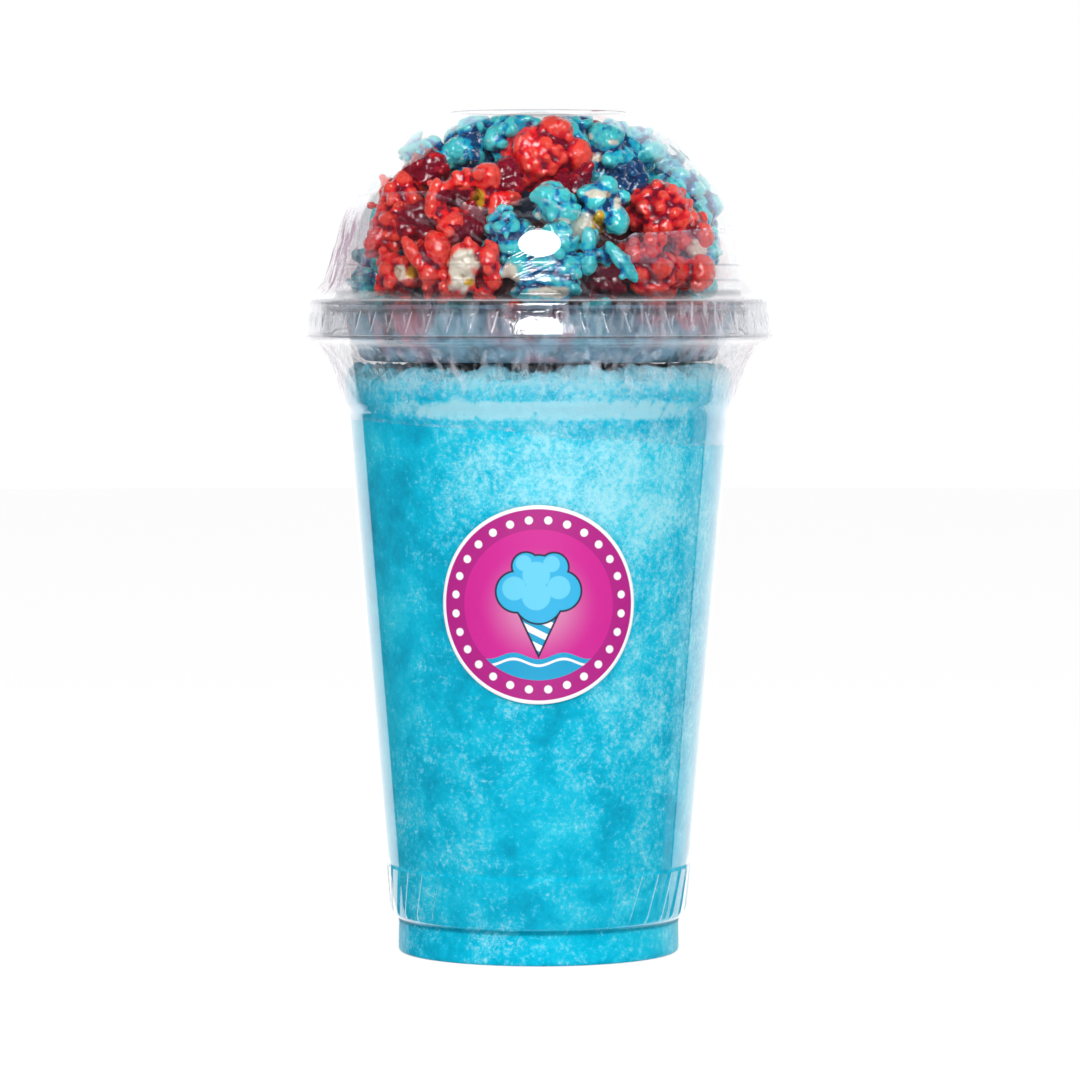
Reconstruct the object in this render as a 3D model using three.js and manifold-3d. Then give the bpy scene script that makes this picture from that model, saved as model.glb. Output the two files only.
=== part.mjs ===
// A takeaway cup of blue cotton candy: a clear tapered cup full of spun sugar, a clear tray of
// candied popcorn hung in its mouth, a clear dome lid, a shrunk-on film band and a round sticker.
// Millimetres, +Z up, origin at the centre of the foot, sticker towards -Y.
import * as THREE from "three";
import { mergeVertices } from "three/addons/utils/BufferGeometryUtils.js";
import Module from "manifold-3d";

const wasm = await Module();
wasm.setup();

// Driving dimensions
const GAP = 0.3; // air between two pieces that touch on the real object
const SHEET = 0.5; // thickness of the cup's, lid's and tray's walls
const FILM = 0.3; // thickness of the shrunk film
const SEGMENTS = 36; // sides of every round piece
const TAPER = 0.0856; // growth of the cup's radius per millimetre of height

// Cup
const FOOT_RADIUS = 30.7;
const FOOT_HEIGHT = 7.4;
const FOOT_ROUNDING = 1.8;
const FOOT_DRAFT = 0.2; // how much narrower the foot is at its top
const PUNT = 1.2; // how far the bottom is pushed up inside the foot ring
const PUNT_SLOPE = 1; // width of the slope from the ring to the raised bottom
const FOOT_RING_WIDTH = 3.2;
const BELLY_LOW_Z = 10.8; // where the tapered wall starts, above the rounded step to the foot
const BELLY_LOW_RADIUS = 32.27;
const STEP_INSET = 0.3; // the step's rounding is drawn towards a point this far inside the wall
const STEP_LIFT = 0.6; // and this far above the foot
const STACK_Z = 117.6; // top of the tapered wall, where the stacking shoulder steps out
const SHOULDER_HEIGHT = 2.4;
const COLLAR_RADIUS = 42.2; // bottom of the collar above the stacking shoulder
const MOUTH_RADIUS = 45.1; // top of the collar, just under the rim
const RIM_Z = 138.8; // centre of the rim's bead
const RIM_BEAD = 1.4;
const RIM_RADIUS = 48.6;

// Fine leaning ribs round the bottom of the cup
const FLUTES = 40;
const FLUTE_LOW_Z = 11.0;
const FLUTE_HIGH_Z = 20.4;
const FLUTE_LEAN = THREE.MathUtils.degToRad(16);
const FLUTE_SIZE = 0.55; // from a rib's middle line to its outer edge
const FLUTE_SINK = 0.15; // how deep a rib's middle line lies in the wall

// Lid
const LID_UNDERSIDE_Z = 141.3;
const SKIRT_TOP_RADIUS = 49.6;
const SKIRT_LOW_RADIUS = 50.5;
const SKIRT_LOW_Z = 134.0;
const NECK_RADIUS = 43.9;
const NECK_TOP_Z = 149.6;
const DOME_RISE = 36.1; // half height of the ellipse that the dome follows
const DOME_TOP_Z = 182.2;
const FLANGE_ROUNDING = 1; // at the flange's outer edge and at the foot of the neck
const SKIRT_TEETH = 60;
const TOOTH_HEIGHT = 4.6;
const TOOTH_WIDTH = 2.2;
const TOOTH_DEPTH = 0.3;
const TOOTH_DROP = 1.5; // from the lid's underside down to the teeth

// Tray that holds the popcorn
const TRAY_FLOOR_Z = 128.4;
const TRAY_FLOOR_RADIUS = 38.6;
const TRAY_MOUTH_RADIUS = 43.5;
const TRAY_RIM_RADIUS = 48.2;
const TRAY_ROUNDING = 2.2;
const TRAY_FLARE = 0.4; // how far the rounding carries the wall out past the floor

// Film band
const FILM_TOP_Z = 160.2; // mean height of the wandering upper edge
const FILM_MIDDLE_Z = 156;
const FILM_DOME_Z = 151.5; // below this the film leaves the dome for the flange
const FILM_LOW_Z = 113.3; // mean height of the slanting lower edge
const FILM_WAIST_Z = 126.5; // where the film comes back onto the cup under the lid
const FILM_LIFT = 0.3; // how far it has left the dome at FILM_DOME_Z
const FILM_CORNER = 0.4; // how far in from the skirt it meets the flange
const FILM_HEM = 0.6; // how far it turns in under the skirt's lower edge
const FILM_SLACK = 0.6; // how far it stands off the cup at FILM_WAIST_Z
const FILM_NECK_PULL = [2.6, 3]; // bend beside the neck: out from the neck, up from the flange
const FILM_WAIST_PULL = [1.8, 4]; // bend under the lid: out from the cup, up from the waist
const FILM_TOP_SLANT = 4.4; // how far the upper edge drops from the front to the +X side
const FILM_TOP_WAVE = 1.6; // how far it also wanders, twice in a turn
const FILM_LOW_SLANT = 3.2; // how far the lower edge drops towards the +X side

// Cotton candy
const CANDY_TOP_Z = 125.6;
const CANDY_EDGE = 1; // how far below the top its edge leaves the wall
const CANDY_RINGS = [0.92, 0.66, 0.35, 0]; // rings of points on top, as shares of the radius
const CANDY_TUFT = 1.3; // height of the tufts on top
// The tufts are waves that cross each other. Each row is the wave's share of the height, its
// turns in radians for each millimetre along X and Y, and its shift in radians.
const TUFT_WAVES = [
  [0.5, 0.21, -0.12, 0.4],
  [0.3, 0.47, -0.36, 0],
  [0.2, 0.33, 0.71, 1.6],
];

// Sticker
const LABEL_Z = 77.6;
const LABEL_RADIUS = 21.1;
const LABEL_THICKNESS = 0.3;
const LABEL_SIDES = 28;
const LABEL_RINGS = [0, 0.28, 0.52, 0.76, 1]; // rings of points, as shares of the radius

// Popcorn. Each row is the angle in degrees from the front towards +X, the distance from the
// axis, the height, half the size, and R for a round piece or W for a winged one.
const POPCORN_FRONT = [
  [3, 16.5, 172.2, 8.8, "R"],
  [-62, 17.5, 173.6, 7.0, "W"],
  [-30, 7.0, 176.8, 3.9, "W"],
  [-96, 25.5, 169.8, 5.6, "W"],
  [-31, 29.2, 163.3, 8.4, "W"],
  [-59, 29.0, 167.0, 5.2, "R"],
  [-70, 33.7, 161.4, 5.9, "R"],
  [-77, 36.0, 154.8, 6.0, "W"],
  [-39, 36.4, 152.2, 6.1, "W"],
  [-58, 36.8, 147.4, 5.7, "R"],
  [-21, 36.4, 148.0, 6.4, "W"],
  [3, 35.0, 145.6, 7.4, "W"],
  [5, 33.8, 160.4, 6.2, "R"],
  [24, 33.6, 160.0, 6.6, "W"],
  [26, 38.0, 149.6, 4.8, "W"],
  [56, 32.2, 160.2, 8.0, "R"],
  [62, 36.4, 147.4, 6.4, "R"],
  [39, 36.8, 146.6, 5.0, "W"],
  [62, 18.5, 172.2, 7.2, "W"],
  [84, 28.0, 168.2, 7.2, "W"],
  [88, 36.2, 158.2, 5.8, "W"],
  [86, 37.8, 150.2, 4.9, "W"],
  [-86, 38.2, 145.6, 4.6, "W"],
];
// Behind, the pieces stand in even rings: height, distance from the axis, count and half size.
const POPCORN_BACK = [
  [147.6, 36.0, 7, 6.9],
  [160.0, 31.8, 6, 7.2],
  [170.6, 20.4, 3, 7.4],
];
const POPCORN_BACK_TURN = 170; // degrees that the rings behind reach round
const POPCORN_BACK_STRAY = 1; // how far their pieces stray up or down
const ROUND_BODY = 0.95; // radius of a round piece's body, as a share of half the piece's size
const WINGED_BODY = 0.78;
const LOBE_SIZE = 0.58;
const LOBE_REACH = 0.46; // from the piece's middle to a lobe's
const LOBE_DEPTH = 0.3; // how far a lobe may lie behind the piece's middle
const LARGE_PIECE = 7; // half size above which a piece gets more faces or a second lobe

// The core that the pieces are joined to: radius, and height over the top of the lid's neck
const CORE_SIDES = 20;
const CORE_OUTLINE = [
  [35.9, 1],
  [31.9, 11],
  [21.9, 21],
  [0, 26],
];
const TRAY_FILL_RADIUS = 37.6; // popcorn in the tray, below the lid's flange
const TRAY_FILL_DRAFT = 2; // how much narrower it is at the tray's floor

// A closed mesh as a solid that can be joined and cut.
function solid(geometry) {
  const bare = geometry.index ? geometry.toNonIndexed() : geometry.clone();
  bare.deleteAttribute("normal");
  bare.deleteAttribute("uv");
  const merged = mergeVertices(bare, 1e-4);
  return new wasm.Manifold(
    new wasm.Mesh({
      numProp: 3,
      vertProperties: new Float32Array(merged.attributes.position.array),
      triVerts: new Uint32Array(merged.index.array),
    }),
  );
}

function geometryOf(joined) {
  const { vertProperties, triVerts } = joined.getMesh();
  const geometry = new THREE.BufferGeometry();
  geometry.setAttribute("position", new THREE.BufferAttribute(vertProperties, 3));
  geometry.setIndex(new THREE.BufferAttribute(triVerts, 1));
  geometry.computeVertexNormals();
  return geometry;
}

const join = (pieces) => pieces.reduce((whole, piece) => whole.add(piece));

// Turns a profile of (radius, height) points about +Z. It runs up the outside and down the inside.
function turned(points, segments = SEGMENTS) {
  return new THREE.LatheGeometry(points, segments).rotateX(Math.PI / 2);
}

// A profile between two outlines, out along the first and back along the second.
const shell = (outer, inner) => [...outer, ...[...inner].reverse(), outer[0].clone()];

// The outer radius of the cup's wall at a height, on its tapered part and its collar.
function cupRadius(z) {
  const collarLow = STACK_Z + SHOULDER_HEIGHT;
  if (z >= collarLow) {
    const share = (z - collarLow) / (RIM_Z - RIM_BEAD - collarLow);
    return THREE.MathUtils.lerp(COLLAR_RADIUS, MOUTH_RADIUS, share);
  }
  return BELLY_LOW_RADIUS + (Math.min(z, STACK_Z) - BELLY_LOW_Z) * TAPER;
}

// The outer radius of the dome at a height.
function domeRadius(z) {
  const share = Math.max(0, z - NECK_TOP_Z) / DOME_RISE;
  return NECK_RADIUS * Math.sqrt(1 - share * share);
}

// The cup's outline from the axis out under the foot and up to just below the rim, moved in by
// `inset` on the walls and up by `inset` on the bottom. `steps` is the number of straight
// pieces in each of its curves.
function cupOutline(inset, steps = 2) {
  const path = new THREE.Path();
  const foot = FOOT_RADIUS - inset;
  const ring = FOOT_RADIUS - FOOT_RING_WIDTH + inset;
  path.moveTo(0, PUNT + inset);
  path.lineTo(ring - PUNT_SLOPE, PUNT + inset);
  path.lineTo(ring, inset);
  path.lineTo(foot - FOOT_ROUNDING + inset, inset);
  path.quadraticCurveTo(foot, inset, foot, FOOT_ROUNDING);
  path.lineTo(foot - FOOT_DRAFT, FOOT_HEIGHT - inset);
  path.quadraticCurveTo(
    BELLY_LOW_RADIUS - STEP_INSET - inset,
    FOOT_HEIGHT + STEP_LIFT - inset,
    BELLY_LOW_RADIUS - inset,
    BELLY_LOW_Z,
  );
  path.lineTo(cupRadius(STACK_Z) - inset, STACK_Z);
  path.quadraticCurveTo(
    COLLAR_RADIUS - inset,
    STACK_Z + SHOULDER_HEIGHT / 3,
    COLLAR_RADIUS - inset,
    STACK_Z + SHOULDER_HEIGHT,
  );
  path.lineTo(MOUTH_RADIUS - inset, RIM_Z - RIM_BEAD);
  return path.getPoints(steps);
}

// One leaning rib on the cup's lowest band, three-sided with an edge outwards.
function flute(angle) {
  const height = FLUTE_HIGH_Z - FLUTE_LOW_Z;
  const middle = (FLUTE_HIGH_Z + FLUTE_LOW_Z) / 2;
  const bar = new THREE.CylinderGeometry(
    FLUTE_SIZE,
    FLUTE_SIZE,
    height / Math.cos(FLUTE_LEAN),
    3,
  );
  bar.rotateX(Math.PI / 2);
  bar.rotateZ(Math.PI);
  bar.rotateY(FLUTE_LEAN);
  bar.rotateX(Math.atan(TAPER));
  bar.translate(0, FLUTE_SINK - cupRadius(middle), middle);
  bar.rotateZ(angle);
  return bar;
}

function makeCup() {
  const rim = new THREE.Path()
    .absarc(RIM_RADIUS - RIM_BEAD, RIM_Z, RIM_BEAD, -Math.PI / 2, Math.PI / 2, false)
    .getPoints(2);
  const outer = [...cupOutline(0), ...rim];
  const inner = [...cupOutline(SHEET), new THREE.Vector2(MOUTH_RADIUS - SHEET, RIM_Z + RIM_BEAD)];
  const wall = solid(turned([...outer, ...inner.reverse()]));
  const step = (2 * Math.PI) / FLUTES;
  const flutes = Array.from({ length: FLUTES }, (_, i) => solid(flute(i * step)));
  return geometryOf(join([wall, ...flutes]));
}

// The lid's outline from the skirt's lower edge up over the flange, neck and dome to the axis.
function lidOutline(inset) {
  const path = new THREE.Path();
  const top = LID_UNDERSIDE_Z + SHEET - inset;
  const neck = NECK_RADIUS - inset;
  path.moveTo(SKIRT_LOW_RADIUS - inset, SKIRT_LOW_Z);
  path.lineTo(SKIRT_TOP_RADIUS - inset, top - FLANGE_ROUNDING);
  path.quadraticCurveTo(SKIRT_TOP_RADIUS - inset, top, SKIRT_TOP_RADIUS - FLANGE_ROUNDING, top);
  path.lineTo(neck + FLANGE_ROUNDING, top);
  path.lineTo(neck, top + FLANGE_ROUNDING);
  path.lineTo(neck, NECK_TOP_Z);
  const rise = DOME_RISE - inset;
  const lastAngle = Math.asin((DOME_TOP_Z - inset - NECK_TOP_Z) / rise);
  path.absellipse(0, NECK_TOP_Z, neck, rise, 0, lastAngle, false);
  path.lineTo(0, DOME_TOP_Z - inset);
  return path.getPoints(3);
}

// One V-shaped tooth pressed into the lid's skirt, wide at the top and pointed below.
function tooth(angle) {
  const cut = new THREE.ConeGeometry(TOOTH_WIDTH / 2, TOOTH_HEIGHT, 4);
  cut.rotateX(-Math.PI / 2);
  cut.scale(1, (2 * TOOTH_DEPTH) / TOOTH_WIDTH, 1);
  cut.rotateX(Math.atan((SKIRT_LOW_RADIUS - SKIRT_TOP_RADIUS) / (LID_UNDERSIDE_Z - SKIRT_LOW_Z)));
  const middle = LID_UNDERSIDE_Z - TOOTH_DROP - TOOTH_HEIGHT / 2;
  const share = (LID_UNDERSIDE_Z - middle) / (LID_UNDERSIDE_Z - SKIRT_LOW_Z);
  cut.translate(0, -THREE.MathUtils.lerp(SKIRT_TOP_RADIUS, SKIRT_LOW_RADIUS, share), middle);
  cut.rotateZ(angle);
  return cut;
}

function makeLid() {
  const wall = solid(turned(shell(lidOutline(0), lidOutline(SHEET))));
  const step = (2 * Math.PI) / SKIRT_TEETH;
  const teeth = Array.from({ length: SKIRT_TEETH }, (_, i) => solid(tooth(i * step)));
  return geometryOf(teeth.reduce((whole, cut) => whole.subtract(cut), wall));
}

function trayOutline(inset) {
  const path = new THREE.Path();
  const floor = TRAY_FLOOR_Z + inset;
  path.moveTo(0, floor);
  path.lineTo(TRAY_FLOOR_RADIUS - TRAY_ROUNDING, floor);
  path.quadraticCurveTo(
    TRAY_FLOOR_RADIUS - inset,
    floor,
    TRAY_FLOOR_RADIUS + TRAY_FLARE - inset,
    TRAY_FLOOR_Z + TRAY_ROUNDING,
  );
  const rimZ = RIM_Z + RIM_BEAD + GAP + inset;
  path.lineTo(TRAY_MOUTH_RADIUS - inset, rimZ);
  path.lineTo(TRAY_RIM_RADIUS, rimZ);
  return path.getPoints(2);
}

const makeTray = () => turned([...trayOutline(0), ...trayOutline(SHEET).reverse()]);

// The film's outline: down the dome, out over the flange, down the skirt, and back in under the
// lid in a curve that comes to lie on the cup.
function filmOutline(offset) {
  const away = GAP + offset;
  const corner = LID_UNDERSIDE_Z + SHEET + away;
  const waist = cupRadius(FILM_WAIST_Z) + away;
  const [neckOut, neckUp] = FILM_NECK_PULL;
  const [waistOut, waistUp] = FILM_WAIST_PULL;
  const path = new THREE.Path();
  path.moveTo(domeRadius(FILM_TOP_Z) + away, FILM_TOP_Z);
  path.lineTo(domeRadius(FILM_MIDDLE_Z) + away, FILM_MIDDLE_Z);
  path.lineTo(domeRadius(FILM_DOME_Z) + away + FILM_LIFT, FILM_DOME_Z);
  path.quadraticCurveTo(
    NECK_RADIUS + away + neckOut,
    corner + neckUp,
    SKIRT_TOP_RADIUS + away - FILM_CORNER,
    corner,
  );
  path.lineTo(SKIRT_LOW_RADIUS + away, SKIRT_LOW_Z);
  path.lineTo(SKIRT_LOW_RADIUS + away - FILM_HEM, SKIRT_LOW_Z - away - FILM_HEM / 2);
  path.quadraticCurveTo(
    waist + waistOut,
    FILM_WAIST_Z + waistUp,
    waist + FILM_SLACK,
    FILM_WAIST_Z,
  );
  path.lineTo(COLLAR_RADIUS + away, STACK_Z + SHOULDER_HEIGHT);
  path.lineTo(cupRadius(FILM_LOW_Z) + away, FILM_LOW_Z);
  return path.getPoints(2);
}

// How far the film's upper and lower edges stray from their mean heights, by the angle from the
// front towards +X. Both are lower on the +X side.
const upperEdge = (angle) =>
  FILM_TOP_WAVE * Math.cos(2 * angle + 0.6) - FILM_TOP_SLANT * Math.sin(angle);
const lowerEdge = (angle) => -FILM_LOW_SLANT * Math.sin(angle);

function makeFilm() {
  const film = turned(shell(filmOutline(FILM), filmOutline(0)).reverse());
  const place = film.attributes.position;
  for (let i = 0; i < place.count; i++) {
    const x = place.getX(i);
    const y = place.getY(i);
    const z = place.getZ(i);
    const angle = Math.atan2(x, -y);
    const radius = Math.hypot(x, y);
    let moved = z;
    let grown = radius;
    if (z > FILM_MIDDLE_Z - 0.1) {
      moved = z + upperEdge(angle) * (z > FILM_TOP_Z - 0.1 ? 1 : 0.4);
      grown = radius - domeRadius(z) + domeRadius(moved);
    } else if (z < FILM_LOW_Z + 0.1) {
      moved = z + lowerEdge(angle);
      grown = radius - cupRadius(z) + cupRadius(moved);
    }
    place.setXYZ(i, (x * grown) / radius, (y * grown) / radius, moved);
  }
  return film;
}

// The tufts on top of the cotton candy, as a height between -1 and 1.
const tuft = (x, y) =>
  TUFT_WAVES.reduce(
    (height, [share, alongX, alongY, shift]) =>
      height + share * Math.sin(alongX * x + alongY * y + shift),
    0,
  );

function makeCandy() {
  const away = SHEET + GAP;
  const edge = CANDY_TOP_Z - CANDY_EDGE;
  const profile = [
    ...cupOutline(away, 1).filter((point) => point.y < edge - CANDY_EDGE),
    new THREE.Vector2(cupRadius(edge) - away, edge),
    ...CANDY_RINGS.map(
      (share) => new THREE.Vector2(share * cupRadius(CANDY_TOP_Z), CANDY_TOP_Z),
    ),
  ];
  const mass = turned(profile);
  const place = mass.attributes.position;
  for (let i = 0; i < place.count; i++) {
    if (place.getZ(i) > edge + CANDY_EDGE / 2) {
      place.setZ(i, CANDY_TOP_Z + CANDY_TUFT * tuft(place.getX(i), place.getY(i)));
    }
  }
  return mass;
}

// A round sticker, bent round the cup: a flat disc whose width becomes an arc on the wall.
function makeLabel() {
  const rings = LABEL_RINGS.map((share) => share * LABEL_RADIUS);
  const disc = turned(
    [
      ...rings.map((r) => new THREE.Vector2(r, 0)),
      ...rings.reverse().map((r) => new THREE.Vector2(r, LABEL_THICKNESS)),
    ],
    LABEL_SIDES,
  );
  const slope = Math.atan(TAPER);
  const place = disc.attributes.position;
  for (let i = 0; i < place.count; i++) {
    const z = LABEL_Z + place.getY(i) * Math.cos(slope);
    const wall = cupRadius(z);
    const radius = wall + GAP + place.getZ(i);
    const angle = place.getX(i) / wall;
    place.setXYZ(i, radius * Math.sin(angle), -radius * Math.cos(angle), z);
  }
  return disc;
}

// A repeatable random number from 0 to 1 for each whole number: the last digits of a large sine.
const draw = (n) => {
  const value = Math.sin(n * 12.9898 + 4.1414) * 43758.5453;
  return value - Math.floor(value);
};

// The shapes that make one piece of popcorn about the origin: a body and the lobes round it.
function kernel(form, half, seed) {
  const round = form === "R";
  const large = half > LARGE_PIECE;
  const body = half * (round ? ROUND_BODY : WINGED_BODY);
  const shapes = [new THREE.IcosahedronGeometry(body, round && large ? 1 : 0)];
  const lobes = round ? 0 : large ? 2 : 1;
  const first = 2 * Math.PI * draw(seed);
  for (let i = 0; i < lobes; i++) {
    const turn = first + (2 * Math.PI * i) / lobes;
    const lobe = new THREE.OctahedronGeometry(half * LOBE_SIZE);
    lobe.translate(
      Math.cos(turn) * half * LOBE_REACH,
      draw(seed + i) * half * LOBE_DEPTH,
      Math.sin(turn) * half * LOBE_REACH,
    );
    shapes.push(lobe);
  }
  return shapes;
}

// The popcorn that shows under the dome, joined to a core that stands for what lies inside.
function makePopcorn() {
  const floor = TRAY_FLOOR_Z + SHEET + GAP;
  const core = [
    new THREE.Vector2(0, floor),
    new THREE.Vector2(TRAY_FILL_RADIUS - TRAY_FILL_DRAFT, floor),
    new THREE.Vector2(TRAY_FILL_RADIUS, LID_UNDERSIDE_Z),
    ...CORE_OUTLINE.map(([radius, height]) => new THREE.Vector2(radius, NECK_TOP_Z + height)),
  ];
  const rows = [...POPCORN_FRONT];
  for (const [z, distance, count, half] of POPCORN_BACK) {
    for (let i = 0; i < count; i++) {
      const angle = 180 + (POPCORN_BACK_TURN / count) * (i - (count - 1) / 2);
      const stray = POPCORN_BACK_STRAY * (2 * draw(rows.length) - 1);
      rows.push([angle, distance, z + stray, half, i % 3 ? "W" : "R"]);
    }
  }
  const pieces = rows.flatMap(([angle, distance, z, half, form], i) =>
    kernel(form, half, i).map((shape) =>
      shape.translate(0, -distance, z).rotateZ(THREE.MathUtils.degToRad(angle)),
    ),
  );
  return geometryOf(join([turned(core, CORE_SIDES), ...pieces].map(solid)));
}

const clear = (color, opacity, roughness = 0.05) =>
  new THREE.MeshStandardMaterial({
    color,
    roughness,
    metalness: 0,
    transparent: true,
    opacity,
  });
const matte = (color, roughness) =>
  new THREE.MeshStandardMaterial({ color, roughness, metalness: 0 });

const part = new THREE.Group();
const add = (name, geometry, material) => {
  const mesh = new THREE.Mesh(geometry, material);
  mesh.name = name;
  part.add(mesh);
};

add("cup", makeCup(), clear(0xf2f8fa, 0.3));
add("dome_lid", makeLid(), clear(0xf4f8fb, 0.3));
add("tray", makeTray(), clear(0xf0f6f8, 0.3));
add("film_band", makeFilm(), clear(0xf1f0f8, 0.2, 0.15));
add("cotton_candy", makeCandy(), matte(0x35c4e6, 0.95));
add("popcorn", makePopcorn(), matte(0xc4242c, 0.3));
add("sticker", makeLabel(), matte(0xe424a0, 0.35));

export default part;
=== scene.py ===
# %% [markdown]
# # A takeaway cup of cotton candy
# The real thing is a clear tapered cup stuffed with blue spun sugar. A clear tray of candied
# popcorn hangs in its mouth, a clear dome lid covers that, and a band of shrunk film holds lid
# and cup together. A round sticker sits on the front. Each of these is made below as its own
# piece, on top of the plain solids that the frame brings along.

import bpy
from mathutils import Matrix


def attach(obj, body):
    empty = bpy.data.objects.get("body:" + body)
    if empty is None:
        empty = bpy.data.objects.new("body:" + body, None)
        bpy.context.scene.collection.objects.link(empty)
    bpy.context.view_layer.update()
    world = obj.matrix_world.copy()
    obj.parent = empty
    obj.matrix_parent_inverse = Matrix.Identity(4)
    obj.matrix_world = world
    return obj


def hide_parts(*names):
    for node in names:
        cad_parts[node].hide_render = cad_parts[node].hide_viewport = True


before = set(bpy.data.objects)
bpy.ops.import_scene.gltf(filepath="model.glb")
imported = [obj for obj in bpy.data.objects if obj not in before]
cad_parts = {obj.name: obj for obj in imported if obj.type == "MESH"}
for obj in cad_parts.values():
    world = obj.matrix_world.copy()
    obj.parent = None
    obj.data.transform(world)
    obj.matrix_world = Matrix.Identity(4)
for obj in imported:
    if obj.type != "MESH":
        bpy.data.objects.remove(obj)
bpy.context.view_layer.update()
print("solids", sorted(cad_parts))

# %% [markdown]
# ## Tools
# Sizes are written in millimetres, as a maker would give them, and MM turns them into the metres
# that Blender works in. numpy holds the points of whole grids at once, and bmesh builds meshes.

# %% Tools
import math

import bmesh
import bpy
import numpy as np
from mathutils import Euler, Matrix, Vector, noise

MM = 0.001
scene = bpy.context.scene
print("Blender", bpy.app.version_string)

# %% [markdown]
# ## Camera
# A long lens about 1.2 m away gives the flat, catalogue-like look of a packshot. The camera is
# level with the lid's flange, so the flange shows edge-on and the foot shows a little from above.

# %% Camera
CAMERA_DISTANCE = 1160 * MM
CAMERA_HEIGHT = 145.9 * MM
AIM_HEIGHT = 89.44 * MM
SIDE_STEP = 0.3 * MM
VIEW_WIDTH = 234.8 * MM  # what the frame takes in at the cup's axis
SENSOR = 36.0

lens = bpy.data.cameras.new("camera")
lens.sensor_width = SENSOR
drop = CAMERA_HEIGHT - AIM_HEIGHT
lens.lens = SENSOR * math.hypot(CAMERA_DISTANCE, drop) / VIEW_WIDTH
camera = bpy.data.objects.new("camera", lens)
camera.location = (SIDE_STEP, -CAMERA_DISTANCE, CAMERA_HEIGHT)
camera.rotation_euler = (math.pi / 2 - math.atan2(drop, CAMERA_DISTANCE), 0, 0)
scene.collection.objects.link(camera)
scene.camera = camera
scene.view_settings.view_transform = "Standard"
print("lens", round(lens.lens, 1), "mm")

# %% [markdown]
# ## Nodes by the line
# Materials are small graphs. A helper that adds a node, fills its sockets and links whatever is
# given as a socket keeps each graph readable.

# %% Node helpers


class Graph:
    """A material's node tree, written one line a node."""

    def __init__(self, name, tree=None):
        if tree is None:
            self.material = bpy.data.materials.new(name)
            self.material.use_nodes = True
            tree = self.material.node_tree
        self.tree = tree
        tree.nodes.clear()

    def add(self, kind, inputs=None, **settings):
        node = self.tree.nodes.new(kind)
        for key, value in settings.items():
            setattr(node, key, value)
        for key, value in (inputs or {}).items():
            self.feed(node.inputs[key], value)
        return node

    def feed(self, socket, value):
        if isinstance(value, bpy.types.NodeSocket):
            self.tree.links.new(value, socket)
        elif isinstance(value, bpy.types.Node):
            self.tree.links.new(value.outputs[0], socket)
        elif socket.type == "RGBA" and len(value) == 3:
            socket.default_value = (*value, 1)
        else:
            socket.default_value = value

    def math(self, operation, a, b=0.0, clamp=False):
        return self.add("ShaderNodeMath", {0: a, 1: b}, operation=operation, use_clamp=clamp)

    def product(self, *parts):
        """All the parts multiplied."""
        total, *rest = parts
        for part in rest:
            total = self.math("MULTIPLY", total, part)
        return total

    def weighted(self, *pairs, start=0.0):
        """A start value plus each value times its weight."""
        total = start
        for value, weight in pairs:
            inputs = {0: value, 1: weight, 2: total}
            total = self.add("ShaderNodeMath", inputs, operation="MULTIPLY_ADD")
        return total

    def length(self, a, b):
        """The long side of a right triangle."""
        return self.math("SQRT", self.weighted((a, a), (b, b)))

    def mix(self, share, a, b):
        node = self.add("ShaderNodeMix", data_type="RGBA")
        for socket, value in ((node.inputs[0], share), (node.inputs[6], a), (node.inputs[7], b)):
            self.feed(socket, value)
        return node.outputs[2]

    def step(self, value, low, high, to_low=0.0, to_high=1.0):
        """A smooth change from to_low to to_high while value goes from low to high."""
        inputs = {"Value": value, "From Min": low, "From Max": high}
        inputs.update({"To Min": to_low, "To Max": to_high})
        return self.add("ShaderNodeMapRange", inputs, interpolation_type="SMOOTHSTEP")

    def blend(self, share, a, b):
        return self.add("ShaderNodeMixShader", {0: share, 1: a, 2: b})

    def noise(self, where, scale, detail=2.0, roughness=0.5, distortion=0.0):
        inputs = {"Vector": where, "Scale": scale, "Detail": detail}
        inputs.update({"Roughness": roughness, "Distortion": distortion})
        return self.add("ShaderNodeTexNoise", inputs)

    def millimetres(self, turn=(0, 0, 0), stretch=(1, 1, 1)):
        """The place on the piece in millimetres, turned and stretched for a grain."""
        place = self.add("ShaderNodeTexCoord").outputs["Object"]
        scaled = [MM / s for s in stretch]
        inputs = {"Vector": place, "Rotation": turn, "Scale": scaled}
        return self.add("ShaderNodeMapping", inputs, vector_type="TEXTURE")

    def height(self):
        """Height on the piece in millimetres."""
        return self.add("ShaderNodeSeparateXYZ", {0: self.millimetres()}).outputs[2]

    def facing(self):
        """0 where the surface is seen face-on, 1 where it is seen edge-on."""
        return self.add("ShaderNodeLayerWeight", {"Blend": 0.5}).outputs["Facing"]

    def painted(self, name):
        """A value that the mesh's points carry."""
        node = self.add("ShaderNodeAttribute", attribute_name=name, attribute_type="GEOMETRY")
        return node.outputs["Fac"]

    def out(self, surface):
        self.add("ShaderNodeOutputMaterial", {"Surface": surface})
        return self.material


print("node helpers", [name for name in vars(Graph) if not name.startswith("_")])

# %% [markdown]
# ## Studio
# Packshots of clear plastic stand in front of a bright white screen in a dark room. The screen's
# edges draw the pale bands along both sides of the cup, and one soft box just above the lens
# gives the small hot spots. The screen is part of the world here, as a patch of sky behind the
# cup, so it lights and mirrors without standing in the way of another view.

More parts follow.
